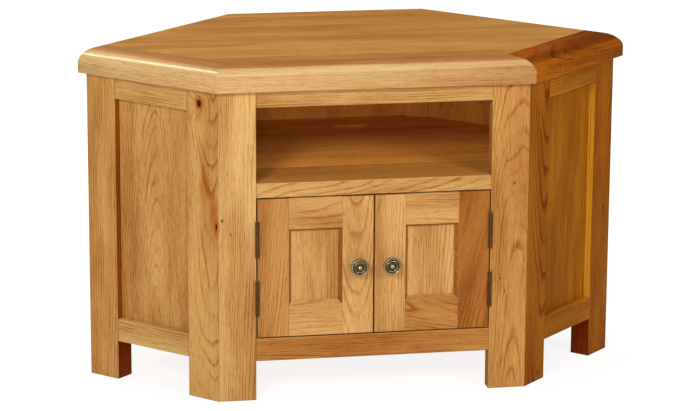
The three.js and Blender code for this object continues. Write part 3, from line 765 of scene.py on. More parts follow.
def lay_grain(mesh, name, grain, face, sawn, looks, foot=0.0, flat_share=None, stave_width=None):
    """Writes, at each corner, the place in the log and the look. Besides the board's own look there may be
    others, which paint light and shade: painted light on level faces, painted shade and light on an upright
    board's edges towards the front, above and below its foot's height, and painted shade and highlight on the
    flat, which takes over by a share at each vertex. Each stave comes from its own log."""
    corner = np.empty(len(mesh.loops), int)
    mesh.loops.foreach_get("vertex_index", corner)
    places = np.array([vertex.co for vertex in mesh.vertices])
    middle = (places.min(0) + places.max(0)) / 2
    axes = np.array([grain, face.cross(grain), face])
    board = (places[corner] - middle) @ axes.T
    count = np.zeros(len(mesh.loops))
    look = np.tile(np.array(looks["own"], float), (len(mesh.loops), 1))
    for polygon in mesh.polygons:
        corners = slice(polygon.loop_start, polygon.loop_start + polygon.loop_total)
        normal = polygon.normal
        # Painted light on level faces
        if "level" in looks:
            share = min(max((normal.z - LEVEL_FROM) / (1 - LEVEL_FROM), 0), 1)
            look[corners] += share * (np.array(looks["level"]) - look[corners])
        # Painted shade and light on an upright board's edges towards the front, above and below its foot's
        # height
        if "edge" in looks and abs(normal.dot(face)) < EDGE_UNTIL and normal.z < EDGE_UNTIL and normal.y < 0:
            look[corners] = looks["foot" if polygon.center.z < foot else "edge"]
        if abs(normal.dot(grain)) > END_FROM:
            look[corners] = END_LOOK
        if stave_width:
            side = np.dot(np.array(polygon.center) - middle, axes[1])
            count[corners] = math.floor(side / stave_width)
    # Painted shade and highlight across the flat of an edge board
    if "flat" in looks:
        look += flat_share[corner, None] * (np.array(looks["flat"]) - look)
    number = (zlib.crc32(name.encode()) % NAME_NUMBERS) / NAME_NUMBERS
    variety = count
    if stave_width:
        board[:, 1] -= (count + 0.5) * stave_width
        variety = np.modf(np.abs(np.sin(count * STAVE_SCATTER + number * BOARD_SCATTER)) * SCATTER)[0]
        look[:, 0] += (variety - 0.5) * STAVE_VARIETY
    beside, below, slope = SAWN[sawn]
    log = board + np.array([number * BOARD_SPREAD, 0, below])
    log[:, 2] += board[:, 0] * slope
    log[:, 0] += variety * STAVE_SPREAD
    log[:, 1] += beside * np.where(variety > 0.5, -1, 1)
    for title, values in (("log", log), ("board", look)):
        written = mesh.attributes.new(title, "FLOAT_VECTOR", "CORNER")
        written.data.foreach_set("vector", values.astype(np.float32).ravel())


def cut_across(shape, place, direction):
    """Divides the faces of a shape along a plane, so that they can look different on its two sides."""
    everything = [*shape.verts, *shape.edges, *shape.faces]
    bmesh.ops.bisect_plane(shape, geom=everything, plane_co=direction * place, plane_no=direction)


def split_into_staves(shape, direction, width):
    """Divides the faces of a shape at the joints between its staves."""
    places = [vertex.co.dot(direction) for vertex in shape.verts]
    middle = (min(places) + max(places)) / 2
    steps = math.ceil((max(places) - middle) / width)
    for step in range(-steps, steps + 1):
        cut_across(shape, middle + step * width, direction)


def dress_board(
    node, finish, grain, face, sawn, looks, body="cabinet", foot=0.0, stave_width=None, arris_share=1.0
):
    """Replaces a board of the frame by one with eased arrises and its own grain."""
    shape = merged_copy(node)
    ease_arrises(shape, bpy.context.scene.cabinet.oak.arris * arris_share, arris_share)
    if stave_width:
        split_into_staves(shape, face.cross(grain), stave_width)
    if foot:
        cut_across(shape, foot, UP)
    board = object_from(shape, f"{node}_oak")
    lay_grain(board.data, node, grain, face, sawn, looks, foot, stave_width=stave_width)
    return finished(board, oak_material(finish), OAK_FINISHES[finish][0], body, node)


def side_wall(hand):
    """Directions along a slanting side wall towards the rear, and out of it"""
    along = Vector((hand * math.cos(SIDE_TURN), math.sin(SIDE_TURN), 0))
    outward = Vector((hand * math.sin(SIDE_TURN), -math.cos(SIDE_TURN), 0))
    return along, outward


# Shares of the flat's look, which is painted shade on the flat, each with its place from an edge board's
# outer edge (0) to its inner joint (1); on the brown board a negative share paints a highlight on the ridge
# where the nose turns
FLAT_SHADE_SHARES = ((0.0, 0.0), (0.33, 0.0), (0.41, 1.0), (1.0, 0.8))
BROWN_SHADE_AND_HIGHLIGHT_SHARES = ((0.0, -0.1), (0.07, -0.6), (0.2, 1.0), (1.0, 0.9))
LOWER_HALF = 0.5
# Share of the arris on the top: how far its edges are eased, and how much painted highlight the field's
# arrises take
TOP_ARRIS_SHARE = 0.25
# Finish, sawing, the flat's shares, and the looks of the nose's face, of its turn, which is lightened as a
# painted highlight, and of the flat, which is deepened as painted shade
EDGE_BOARDS = {
    "front": ("edge", "rift", FLAT_SHADE_SHARES, {
        "own": (0.38, 0, 0), "level": (-0.8, 0, 0), "flat": (0.06, 0.5, 0.52),
    }),
    "left": ("edge", "rift", FLAT_SHADE_SHARES, {
        "own": (0.1, 0, 0), "level": (0, 0, 0), "flat": (0.03, 0.3, 0.55),
    }),
    "right": ("brown", "half", BROWN_SHADE_AND_HIGHLIGHT_SHARES, {"own": (0, 0, 0.42), "flat": (0.33, -0.2, 0.64)}),
}
# Numbers of the points that follow the nose in an edge board's section
BACK_TOP, BACK_FOOT, ARRIS_START = 1, 2, 3


def finish_tree(w, made, geometry, material):
    """Ends a tree in whole meshes that carry their material."""
    realized = w.geometry("RealizeInstances", {"Geometry": geometry})
    w.feed(made["Geometry"], w.geometry("SetMaterial", {"Geometry": realized, "Material": material}))


def nosed_board_tree():
    """An edge board along X from 0: section by rule in Y, inwards, and Z, with its ends cut to mitres."""
    tree, w, given, made = new_tree("nosed board", "GeometryNodeTree", {
        "geometry": "Geometry", "count": "Nose Steps, Arris Steps", "material": "Material",
        "value": "Length, Board Width, Thickness, Nose Width, Nose Height, Lower Arris, Start Mitre, "
                 "End Mitre",
    }, {"geometry": "Geometry"})

    def turn(step, steps):
        return w.times(w.math("DIVIDE", step, given[steps]), math.pi / 2)

    def short_of(size, function, angle):
        return w.times(given[size], w.minus(1.0, w.math(function, angle)))

    point = w.geometry("InputIndex")
    nose_turn = turn(point, "Nose Steps")
    nose_foot = w.minus(given["Thickness"], given["Nose Height"])
    nose_z = w.total(nose_foot, w.times(given["Nose Height"], w.math("SINE", nose_turn)))
    after_nose = w.minus(point, given["Nose Steps"])
    arris_turn = turn(w.minus(after_nose, ARRIS_START), "Arris Steps")

    on_nose, on_back_top, on_back = (
        w.math("LESS_THAN", after_nose, number - 0.5) for number in (BACK_TOP, BACK_FOOT, ARRIS_START)
    )
    back_y = w.either(on_back, given["Board Width"], short_of("Lower Arris", "SINE", arris_turn))
    back_z = w.either(on_back_top, given["Thickness"], 0.0)
    back_z = w.either(on_back, back_z, short_of("Lower Arris", "COSINE", arris_turn))
    y = w.either(on_nose, short_of("Nose Width", "COSINE", nose_turn), back_y)
    z = w.either(on_nose, nose_z, back_z)

    corners = w.total(given["Nose Steps"], given["Arris Steps"], ARRIS_START + 1)
    outline = w.geometry("MeshCircle", {"Vertices": corners}, fill_type="NGON")
    section = w.geometry("SetPosition", {"Geometry": outline, "Position": w.joined(0.0, y, z)})
    run = {"Offset": w.joined(given["Length"]), "Offset Scale": 1.0, "Individual": False}
    closed = w.node("GeometryNodeJoinGeometry")
    w.feed(closed.inputs[0], w.geometry("ExtrudeMesh", {"Mesh": section, **run}))
    w.feed(closed.inputs[0], w.geometry("FlipFaces", {"Mesh": section}))
    merged = w.geometry("MergeByDistance", {"Geometry": closed.outputs[0], "Distance": MERGE_DISTANCE})

    x, inward, height = w.parts(w.geometry("InputPosition"))
    at_start = w.math("LESS_THAN", x, w.times(given["Length"], 0.5))
    start_x = w.times(inward, given["Start Mitre"])
    end_x = w.minus(given["Length"], w.times(inward, given["End Mitre"]))
    place = w.joined(w.either(at_start, start_x, end_x), inward, height)
    mitred = w.geometry("SetPosition", {"Geometry": merged, "Position": place})
    finish_tree(w, made, mitred, given["Material"])
    return tree


def grown(name, tree, mesh, settings, **inputs):
    """The plain mesh that a geometry tree grows on a start mesh, as a new object with no modifier. The tree's
    inputs are given by name, or come from the settings of that name."""
    start = placed(f"{name}_start", mesh)
    modifier = start.modifiers.new("grow", "NODES")
    modifier.node_group = tree
    for item in tree.interface.items_tree:
        if item.in_out == "INPUT" and item.socket_type != SOCKETS["geometry"]:
            title = item.name.lower().replace(" ", "_")
            modifier[item.identifier] = inputs[title] if title in inputs else getattr(settings, title)
    bpy.context.view_layer.update()
    graph = bpy.context.evaluated_depsgraph_get()
    mesh = bpy.data.meshes.new_from_object(start.evaluated_get(graph), depsgraph=graph)
    bpy.data.objects.remove(start)
    mesh.name = name
    return placed(name, mesh)


def dress_edge_board(node, tree, start_mitre, end_mitre, length, place, finish, sawn, shares, looks):
    """Grows an edge board in its own frame and lays it where the frame's board is."""
    settings = bpy.context.scene.cabinet.top
    low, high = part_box(node)
    material = oak_material(finish)
    board = grown(
        f"{node}_oak", tree, bpy.data.meshes.new(f"{node}_start"), settings, length=length,
        thickness=high.z - low.z, start_mitre=start_mitre, end_mitre=end_mitre, material=material,
    )
    shape = bmesh.new()
    shape.from_mesh(board.data)
    shape.transform(place)
    bmesh.ops.recalc_face_normals(shape, faces=shape.faces)
    ease_arrises(shape, bpy.context.scene.cabinet.oak.arris * TOP_ARRIS_SHARE, 0)
    smooth_where_round(shape)
    shape.to_mesh(board.data)
    shape.free()
    vertices = [vertex.co for vertex in board.data.vertices]
    inwards = np.array([(place.inverted() @ vertex).y for vertex in vertices])
    # How much of the flat's painted shade and highlight each vertex takes; none on the lower half
    share = np.interp(inwards / settings.board_width, *zip(*shares))
    share[[vertex.z < low.z + LOWER_HALF * (high.z - low.z) for vertex in vertices]] = 0
    grain = (place.to_3x3() @ RIGHT).normalized()
    lay_grain(board.data, node, grain, UP, sawn, looks, flat_share=share)
    return finished(board, material, OAK_FINISHES[finish][0], "cabinet", node)


# Looks of boards that have only one
PLAIN_LOOKS = {"own": (0.0, 0.0, 0.0)}
REAR_LOOKS = {"own": (0.3, 0.0, 0.0)}
BACK_LOOKS = {"own": (0.4, 0.0, 0.0)}


class CABINET_OT_top(bpy.types.Operator):
    """Lay the field of the top and grow its nosed and mitred edge boards"""

    bl_idname = "cabinet.top"
    bl_label = "Top"

    def execute(self, context):
        settings = context.scene.cabinet.top
        staves = {"stave_width": settings.stave_width, "arris_share": TOP_ARRIS_SHARE}
        dress_board("top_field", "top", RIGHT, UP, "rift", PLAIN_LOOKS, **staves)
        tree = nosed_board_tree()
        mitre = math.tan(SIDE_TURN / 2)
        low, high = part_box("top_front_board")
        front = Matrix.Translation((low.x, low.y, low.z))
        dress_edge_board("top_front_board", tree, mitre, mitre, high.x - low.x, front, *EDGE_BOARDS["front"])
        corner = Vector((high.x, low.y, low.z))
        for side, hand in HANDS:
            node = f"top_{side}_board"
            edge_low, edge_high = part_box(node)
            reach = edge_high.x if hand > 0 else -edge_low.x
            length = (reach - corner.x) / math.cos(SIDE_TURN) - settings.mitre_gap
            along, outward = side_wall(hand)
            start = Vector((hand * corner.x, corner.y, corner.z)) + along * settings.mitre_gap
            if hand < 0:
                start += along * length
                along = -along
            place = Matrix((along, -outward, UP)).transposed().to_4x4()
            place.translation = start
            mitres = (mitre, 0.0) if hand > 0 else (0.0, mitre)
            dress_edge_board(node, tree, *mitres, length, place, *EDGE_BOARDS[side])
        return {"FINISHED"}


# Painted light: a lighter look on the level upper faces below the panels, on the side walls' lower rails and
# on the doors, where they catch the light
PAINTED_LEDGE_LIGHT = (-1.2, 0.2, 0.0)
# Painted shade and light on the edges of the side walls' posts towards the front, beside the panel and on the
# leg below it: deepened beside the left panel and on both legs, lightened beside the right panel
PAINTED_POST_EDGE_SHADING = {
    "left": {"edge": (0.9, 0.0, 0.7), "foot": (1.7, 0.0, 1.0)},
    "right": {"edge": (-1.2, 0.0, 0.0), "foot": (1.3, 0.0, 0.6)},
}
# Boards of the front: the grain's direction, how they were sawn, and their looks
FRONT_BOARDS = {
    "front_left_stile": (UP, "rift", {"own": (0.18, 0, 0)}),
    "front_right_stile": (UP, "swirled", {"own": (0.35, 0.7, 0)}),
    "front_top_rail": (RIGHT, "rift", {"own": (0.18, 0, 0)}),
    # Painted light: the middle board's top face, in the bay's dim light, is lightened and warmed
    "front_middle_board": (RIGHT, "half", {"own": (0.35, 0, 0), "level": (-1, 1.6, 0)}),
    "front_bottom_rail": (RIGHT, "rift", {"own": (0.45, 0.85, 0)}),
}
# Boards of a side's frame: how they were sawn, tone and warmth
SIDE_BOARDS = {
    "side_front_stile": ("half", 0.2, 0.4),
    "rear_post": ("rift", 0.14, 0.6),
    "side_upper_rail": ("rift", 0.0, 0.0),
    "side_lower_rail": ("rift", 0.0, 0.1),
}
# Each side: its finish, the painted shade that deepens its frame, how its panel was sawn, and the panel's
# looks
SIDES = {
    "left": ("honey", 0.0, "wide", {"own": (0.2, 0.4, 0)}),
    "right": ("amber", 0.3, "straight", {"own": (0.2, 0, 0)}),
}


class CABINET_OT_frame(bpy.types.Operator):
    """Lay the boards of the front and side frames and their panels"""

    bl_idname = "cabinet.frame"
    bl_label = "Front and Side Frames"

    def execute(self, context):
        for node, (grain, sawn, looks) in FRONT_BOARDS.items():
            dress_board(node, "honey", grain, -REAR, sawn, looks)
        for side, hand in HANDS:
            along, outward = side_wall(hand)
            finish, painted_shade, panel_sawn, panel_looks = SIDES[side]
            panel_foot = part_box(f"{side}_side_lower_rail")[0].z
            for board, (sawn, tone, warmth) in SIDE_BOARDS.items():
                looks = dict(PAINTED_POST_EDGE_SHADING[side], own=(tone + painted_shade, warmth, 0))
                if board == "side_lower_rail":
                    looks["level"] = PAINTED_LEDGE_LIGHT
                grain = {"side_front_stile": -UP, "rear_post": UP}.get(board, along)
                # The rear post is cut at the panel's foot, so that its leg takes the painted shade of the
                # foot look
                foot = panel_foot if board == "rear_post" else 0.0
                dress_board(f"{side}_{board}", finish, grain, outward, sawn, looks, foot=foot)
            dress_board(f"{side}_side_panel", finish, UP, outward, panel_sawn, panel_looks)
        return {"FINISHED"}


class CABINET_OT_inside(bpy.types.Operator):
    """Lay the shelf, the floor, the rear walls and their posts"""

    bl_idname = "cabinet.inside"
    bl_label = "Shelf, Floor and Back"

    def execute(self, context):
        width = context.scene.cabinet.top.stave_width
        for node in ("bay_shelf", "cupboard_floor"):
            dress_board(node, "inside", RIGHT, UP, "rift", PLAIN_LOOKS, stave_width=width)
        dress_board("back_panel", "inside", UP, REAR, "wide", BACK_LOOKS, stave_width=width)
        dress_board("back_lower_rail", "inside", RIGHT, REAR, "rift", REAR_LOOKS)
        for side, hand in HANDS:
            # A slanting rear wall stands square to its side wall
            outward, inward = side_wall(hand)
            panel, rail = f"{side}_rear_panel", f"{side}_rear_lower_rail"
            dress_board(panel, "inside", UP, outward, "wide", REAR_LOOKS, stave_width=width)
            dress_board(rail, "inside", -inward, outward, "rift", REAR_LOOKS)
            dress_board(f"{side}_back_post", "inside", UP, REAR, "rift", REAR_LOOKS)
        return {"FINISHED"}


# Painted shade: a deepened look on the doors' edges towards the front, the bevels around the panels
DOOR_PAINTED_EDGE_SHADE = (0.5, 0.3, 0.4)
# The boards of each door: how they were sawn, tone, warmth, and how far their grain leans
DOOR_BOARDS = {
    "left": {
        "hinge_stile": ("rift", 0.36, 0.4, 5),
        "meeting_stile": ("flat", -0.25, 0.0, 178),
        "top_rail": ("half", 0.25, 0.0, 7),
        "bottom_rail": ("rift", 0.15, 0.0, 1),
        "panel": ("rift", 0.15, 0.0, -1),
    },
    "right": {
        "hinge_stile": ("rift", 0.7, 0.95, 12),
        "meeting_stile": ("rift", 0.1, 0.0, 0),
        "top_rail": ("rift", 0.06, 0.0, 1),
        "bottom_rail": ("half", 0.16, 0.5, 12),
        "panel": ("rift", 0.05, 0.0, 0),
    },
}


class CABINET_OT_doors(bpy.types.Operator):
    """Lay the stiles, rails and panels of the doors"""

    bl_idname = "cabinet.doors"
    bl_label = "Doors"

    def execute(self, context):
        for side, boards in DOOR_BOARDS.items():
            for board, (sawn, tone, warmth, lean) in boards.items():
                grain = RIGHT if board.endswith("rail") else UP
                grain = Matrix.Rotation(math.radians(lean), 3, REAR) @ grain
                looks = {"own": (tone, warmth, 0), "edge": DOOR_PAINTED_EDGE_SHADE, "level": PAINTED_LEDGE_LIGHT}
                dress_board(f"{side}_door_{board}", "door", grain, -REAR, sawn, looks, f"{side}_door")
        return {"FINISHED"}


# Radius and height of the knob's turned profile, as shares of its own, and how hollow each place is
KNOB_PROFILE_SHARES = (
    (0.0, 0.0, 0.5), (0.54, 0.0, 0.5), (0.56, 0.015, 0.3), (0.56, 0.05, 0.2), (0.53, 0.085, 0.3),
    (0.44, 0.12, 0.7), (0.35, 0.17, 0.8), (0.31, 0.24, 0.7), (0.30, 0.31, 0.6), (0.32, 0.40, 0.6),
    (0.40, 0.48, 0.7), (0.54, 0.55, 0.7), (0.72, 0.60, 0.6), (0.86, 0.645, 0.4), (0.95, 0.685, 0.3),
    (0.99, 0.73, 0.3), (1.0, 0.765, 0.35), (0.985, 0.80, 0.25), (0.95, 0.835, 0.1), (0.90, 0.86, 0.0),
    (0.85, 0.865, 0.0), (0.81, 0.85, 0.15), (0.78, 0.82, 0.7), (0.75, 0.795, 1.0), (0.71, 0.785, 1.0),
    (0.67, 0.795, 0.95), (0.64, 0.82, 0.6), (0.615, 0.845, 0.2), (0.585, 0.855, 0.1), (0.555, 0.845, 0.3),
    (0.53, 0.82, 0.7), (0.49, 0.795, 0.95), (0.43, 0.785, 1.0), (0.37, 0.795, 1.0), (0.32, 0.82, 0.8),
    (0.29, 0.855, 0.4), (0.275, 0.895, 0.2), (0.25, 0.935, 0.05), (0.20, 0.97, 0.0), (0.13, 0.99, 0.0),
    (0.06, 0.998, 0.0), (0.0, 1.0, 0.0),
)


def turned_knob(node):
    """A knob turned from its profile, which stands on the door and faces the front."""
    low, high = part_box(node)
    radius = (high.x - low.x) / 2
    projection = high.y - low.y
    centre = Vector(((low.x + high.x) / 2, high.y, (low.z + high.z) / 2))
    shape = bmesh.new()
    hollow = shape.verts.layers.float.new("hollow")
    vertices = []
    for share, height, depth in KNOB_PROFILE_SHARES:
        vertex = shape.verts.new((centre.x + share * radius, centre.y - height * projection, centre.z))
        vertex[hollow] = depth
        vertices.append(vertex)
    edges = [shape.edges.new(pair) for pair in zip(vertices, vertices[1:])]
    segments = bpy.context.scene.cabinet.knob.segments
    turn = {"cent": centre, "axis": REAR, "angle": math.tau, "steps": segments, "use_merge": True}
    bmesh.ops.spin(shape, geom=[*vertices, *edges], **turn)
    bmesh.ops.remove_doubles(shape, verts=shape.verts, dist=MERGE_DISTANCE)
    bmesh.ops.recalc_face_normals(shape, faces=shape.faces)
    smooth_where_round(shape)
    return object_from(shape, f"{node}_turned")


class CABINET_OT_knobs(bpy.types.Operator):
    """Turn the two knobs"""

    bl_idname = "cabinet.knobs"
    bl_label = "Knobs"

    def execute(self, context):
        settings = context.scene.cabinet.knob
        look = (settings.brass, settings.tarnish, BRASS_PATINA_SCALE)
        brass = metal_material("brass_antique", *look, "hollow")
        for side, _ in HANDS:
            finished(turned_knob(f"{side}_knob"), brass, "antique_brass", f"{side}_door", f"{side}_knob")
        return {"FINISHED"}


# Scales of the patina's clouds, and how tarnished metals are all over
BRASS_PATINA_SCALE = 260
BRONZE_PATINA_SCALE = 420
STEEL_PATINA_SCALE = 300
BRONZE_TARNISH = 0.55
WORN_TARNISH = 0.1
STEEL_TARNISH = 0.0
STEEL_COLOUR = srgb(206, 206, 202)
STEEL_DULL_COLOUR = srgb(132, 130, 124)
CATCH_COLOUR = srgb(84, 54, 30)
# How far the edges of metal and moulded pieces are eased
LEAF_ARRIS = 0.2 * MM
PIN_ARRIS = 0.15 * MM
CATCH_ARRIS = 0.4 * MM
PLATE_ARRIS = 0.2 * MM
SCREW_ARRIS = 0.3 * MM
# A screw's head: its foot and the length of the slot's cutter as shares of its radius
HEAD_FOOT_SHARE = 0.6
CUTTER_LENGTH_SHARE = 3.0
SCREW_SEED = 7


def dress_metal(node, material, slot, body, arris):
    """Replaces a metal or moulded piece of the frame by one with eased edges."""
    shape = merged_copy(node)
    ease_arrises(shape, arris)
    smooth_where_round(shape)
    return finished(object_from(shape, f"{node}_finished"), material, slot, body, node)


def leaf_screw_tree():
    """Rows of slotted countersunk heads, one row upright through each point of the start mesh."""
    tree, w, given, made = new_tree("leaf screws", "GeometryNodeTree", {
        "geometry": "Geometry", "count": "Screws, Screw Segments", "material": "Material",
        "value": "Spacing, Screw Radius, Screw Depth, Slot Width, Slot Depth",
    }, {"geometry": "Geometry"})
    radius, depth, spacing = given["Screw Radius"], given["Screw Depth"], given["Spacing"]
    head = w.geometry("MeshCone", {
        "Vertices": given["Screw Segments"], "Radius Top": radius,
        "Radius Bottom": w.times(radius, HEAD_FOOT_SHARE), "Depth": depth,
    })
    cutter_length = w.times(radius, CUTTER_LENGTH_SHARE)
    cutter_size = w.joined(cutter_length, given["Slot Width"], w.times(given["Slot Depth"], 2.0))
    cutter = w.geometry("MeshCube", {"Size": cutter_size})
    raised = w.geometry("Transform", {"Geometry": cutter, "Translation": w.joined(0.0, 0.0, depth)})
    slotted = w.geometry("MeshBoolean", {0: head, 1: raised}, operation="DIFFERENCE")

    first = w.times(w.times(w.minus(given["Screws"], 1.0), spacing), -0.5)
    places = {"Start Location": w.joined(first), "Offset": w.joined(spacing)}
    row = w.geometry("MeshLine", {"Count": given["Screws"], **places})
    turns = {"Min": 0.0, "Max": math.pi, "Seed": SCREW_SEED}
    turn = w.node("FunctionNodeRandomValue", turns, data_type="FLOAT").outputs["Value"]
    turned = {"Instance": slotted, "Rotation": w.joined(0.0, 0.0, turn)}
    heads = w.geometry("InstanceOnPoints", {"Points": row, **turned})
    facing = w.geometry("InputNamedAttribute", {"Name": "facing"}, data_type="FLOAT_VECTOR")
    axes = {"axis": "Z", "pivot_axis": "Y"}
    lean = w.node("FunctionNodeAlignRotationToVector", {"Vector": facing}, **axes).outputs[0]
    rows = w.geometry("InstanceOnPoints", {"Points": given["Geometry"], "Instance": heads, "Rotation": lean})
    finish_tree(w, made, rows, given["Material"])
    return tree


def leaf_points(nodes, axis_x, outward):
    """A mesh with a point at the foot of each leaf's middle screw, and the way that its open face looks."""
    settings = bpy.context.scene.cabinet.hinge
    points = []
    for node in nodes:
        low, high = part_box(node)
        barrel = high.x - low.x
        plate_middle = (low.y + barrel + high.y) / 2
        depth = settings.screw_depth - settings.screw_proud
        face = axis_x + outward * (settings.leaf_face + depth)
        points.append((face, plate_middle, (low.z + high.z) / 2))
    mesh = bpy.data.meshes.new("leaf_points")
    mesh.from_pydata(points, [], [])
    facing = mesh.attributes.new("facing", "FLOAT_VECTOR", "POINT")
    for item in facing.data:
        item.vector = (-outward, 0, 0)
    return mesh


class CABINET_OT_hinges(bpy.types.Operator):
    """Dress the hinge leaves and pins and drive their screws"""

    bl_idname = "cabinet.hinges"
    bl_label = "Hinges"

    def execute(self, context):
        settings = context.scene.cabinet.hinge
        look = (settings.bronze, settings.bronze_dark, BRONZE_PATINA_SCALE)
        bronze = metal_material("bronze_dark", *look, BRONZE_TARNISH)
        worn = metal_material("bronze_worn", *look, WORN_TARNISH)
        tree = leaf_screw_tree()
        axes = {joint["name"]: joint["pos_m"][0] for joint in frame["joints"]}
        for side, hand in HANDS:
            axis_x = axes[f"{side}_door_hinge"]
            for leaf, body, outward in (("frame", "cabinet", hand), ("door", f"{side}_door", -hand)):
                nodes = [f"{side}_{level}_hinge_{leaf}_leaf" for level in LEVELS]
                for node in nodes:
                    dress_metal(node, bronze, "hinge_bronze", body, LEAF_ARRIS)
                low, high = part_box(nodes[0])
                spacing = (high.z - low.z - 2 * settings.margin) / (settings.screws - 1)
                points = leaf_points(nodes, axis_x, outward)
                name = f"{side}_{leaf}_leaf_screws"
                screws = grown(name, tree, points, settings, spacing=spacing, material=worn)
                finished(screws, worn, "hinge_bronze", body)
            for level in LEVELS:
                dress_metal(f"{side}_{level}_hinge_pin", worn, "hinge_bronze", "cabinet", PIN_ARRIS)
        return {"FINISHED"}


class CABINET_OT_catches(bpy.types.Operator):
    """Dress the catches, their plates and the knob screws"""

    bl_idname = "cabinet.catches"
    bl_label = "Catches and Knob Screws"

    def execute(self, context):
        look = (STEEL_COLOUR, STEEL_DULL_COLOUR, STEEL_PATINA_SCALE)
        steel = metal_material("steel_plated", *look, STEEL_TARNISH)
        case = plastic_material("plastic_brown", CATCH_COLOUR)
        for side, _ in HANDS:
            dress_metal(f"{side}_catch", case, "catch_case", "cabinet", CATCH_ARRIS)
            dress_metal(f"{side}_catch_plate", steel, "plated_steel", f"{side}_door", PLATE_ARRIS)
            dress_metal(f"{side}_knob_screw", steel, "plated_steel", f"{side}_door", SCREW_ARRIS)
        return {"FINISHED"}


# Stage

FLOOR_ROUGHNESS = 0.9
PLUG_SEGMENTS = 64
PLUG_COLOUR = srgb(150, 140, 128)


def light_room(settings):
    """White behind the object, and even light of the room's level on it."""
    world = bpy.data.worlds.new("studio")
    world.use_nodes = True
    world.node_tree.nodes.clear()
    w = Wiring(world.node_tree)
    seen = w.node("ShaderNodeLightPath").outputs["Is Camera Ray"]
    strength = w.rise(seen, 0.0, 1.0, settings.room, 1.0)
    colour = w.mix(seen, settings.room_colour, WHITE)
    background = w.node("ShaderNodeBackground", {"Color": colour, "Strength": strength})
    w.node("ShaderNodeOutputWorld", {"Surface": background.outputs[0]})
    bpy.context.scene.world = world


def lay_floor(settings):
    shape = bmesh.new()
    bmesh.ops.create_grid(shape, x_segments=1, y_segments=1, size=settings.floor_size / 2)
    floor = object_from(shape, "floor")
    material, w, shader = new_material("floor_pale")
    direct = w.node("ShaderNodeLightPath").outputs["Is Camera Ray"]
    dimmed = w.mix(settings.floor_share, BLACK, settings.floor_colour)
    w.feed(shader["Base Color"], w.mix(direct, settings.floor_colour, dimmed))
    shader["Roughness"].default_value = FLOOR_ROUGHNESS
    shader["Specular IOR Level"].default_value = 0
    shader["Emission Color"].default_value = (*WHITE, 1)
    distance = w.vector("LENGTH", w.place())
    glow = w.rise(distance, settings.floor_near, settings.floor_far, settings.floor_glow, 1.0)
    w.feed(shader["Emission Strength"], w.times(direct, glow))
    floor.data.materials.append(material)
    floor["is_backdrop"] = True


def hang_lamp(name, turn, rise, level, length, width, colour, distance, target):
    """A lamp whose level is 1 where it lights a facing surface as fully as its colour allows."""
    light = bpy.data.lights.new(name, "AREA")
    light.shape = "RECTANGLE"
    light.size = length
    light.size_y = width
    light.color = colour
    light.energy = level * (math.pi * distance) ** 2
    lamp = placed(name, light)
    away = Vector((math.sin(turn) * math.cos(rise), -math.cos(turn) * math.cos(rise), math.sin(rise)))
    lamp.location = target + away * distance
    lamp.rotation_euler = away.to_track_quat("Z", "Y").to_euler()


def place_camera(settings):
    """The camera of the photograph: turned to the left of the front, tilted down and leaning a little."""
    turned = Matrix.Rotation(-settings.camera_turn, 4, "Z")
    turned @= Matrix.Rotation(math.pi / 2 - settings.camera_tilt, 4, "X")
    turned @= Matrix.Rotation(-settings.camera_roll, 4, "Z")
    front_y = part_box("front_top_rail")[0].y
    target = Matrix.Translation((settings.target_right, front_y, settings.target_up))
    camera_data = bpy.data.cameras.new("camera")
    camera = placed("camera", camera_data)
    camera.matrix_world = target @ turned @ Matrix.Translation(UP * settings.camera_distance)
    camera_data.lens = settings.focal_pixels * camera_data.sensor_width / settings.picture_width
    bpy.context.scene.camera = camera


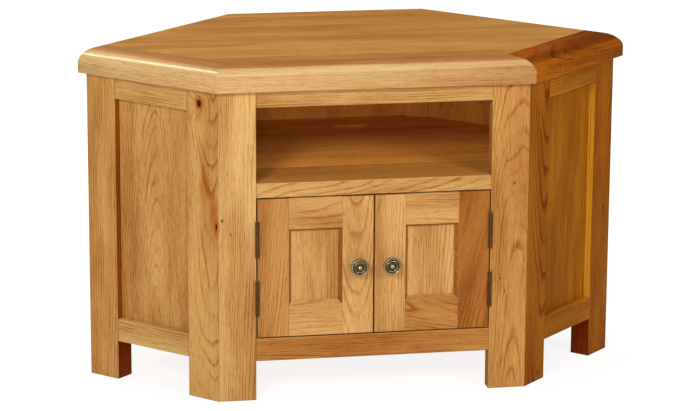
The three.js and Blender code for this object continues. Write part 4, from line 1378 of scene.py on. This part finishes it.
def plug_cable_hole(settings):
    """A disc in the cable hole that only light meets, so that the rim lamp throws no spot on the shelf."""
    low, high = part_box("back_panel")
    middle = (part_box("bay_shelf")[1].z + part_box("front_top_rail")[0].z) / 2
    stand = Matrix.Translation((0, (low.y + high.y) / 2, middle)) @ Matrix.Rotation(math.pi / 2, 4, "X")
    shape = bmesh.new()
    disc = {"radius": settings.plug_radius, "segments": PLUG_SEGMENTS, "matrix": stand}
    bmesh.ops.create_circle(shape, cap_ends=True, **disc)
    plug = object_from(shape, "plug")
    plug.data.materials.append(plastic_material("plug_card", PLUG_COLOUR))
    plug.visible_camera = False
    plug.visible_glossy = False
    plug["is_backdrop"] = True


class CABINET_OT_stage(bpy.types.Operator):
    """Lay the floor, hang the lamps and place the camera"""

    bl_idname = "cabinet.stage"
    bl_label = "Floor, Lamps and Camera"

    def execute(self, context):
        settings = context.scene.cabinet.stage
        context.scene.view_settings.view_transform = "Standard"
        place_camera(settings)
        lay_floor(settings)
        light_room(settings)
        plug_cable_hole(settings)
        low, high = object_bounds()
        target = (low + high) / 2
        for name, turn, rise, colour, *sizes in (
            ("left", -settings.left_turn, settings.lamp_rise, WHITE, settings.lamp_size),
            ("right", settings.right_turn, settings.lamp_rise, WHITE, settings.lamp_size),
            ("fill", -settings.camera_turn, settings.fill_rise, WHITE, settings.fill_size),
            ("top", 0, math.pi / 2, WHITE, settings.lamp_size),
            (
                "rim", -settings.rim_turn, settings.rim_rise, settings.rim_colour, settings.rim_length,
                settings.rim_width,
            ),
        ):
            level = getattr(settings, f"{name}_lamp")
            size = (sizes[0], sizes[-1])
            hang_lamp(f"{name}_lamp", turn, rise, level, *size, colour, settings.lamp_distance, target)
        return {"FINISHED"}


OPERATORS = (
    CABINET_OT_stage, CABINET_OT_top, CABINET_OT_frame, CABINET_OT_inside, CABINET_OT_doors, CABINET_OT_knobs,
    CABINET_OT_hinges, CABINET_OT_catches,
)


class CABINET_PT_finish(bpy.types.Panel):
    """Lists the steps that dress the cabinet"""

    bl_label = "Corner Cabinet"
    bl_space_type = "VIEW_3D"
    bl_region_type = "UI"
    bl_category = "Cabinet"

    def draw(self, context):
        for operator in OPERATORS:
            self.layout.operator(operator.bl_idname)


CLASSES = (
    OakSettings, TopSettings, KnobSettings, HingeSettings, StageSettings, CabinetSettings, *OPERATORS,
    CABINET_PT_finish,
)


def register():
    for item in CLASSES:
        bpy.utils.register_class(item)
    bpy.types.Scene.cabinet = PointerProperty(type=CabinetSettings)


def unregister():
    del bpy.types.Scene.cabinet
    for item in reversed(CLASSES):
        bpy.utils.unregister_class(item)


def main():
    register()
    for operator in OPERATORS:
        getattr(bpy.ops.cabinet, operator.bl_idname.split(".")[1])()


if __name__ == "__main__":
    main()
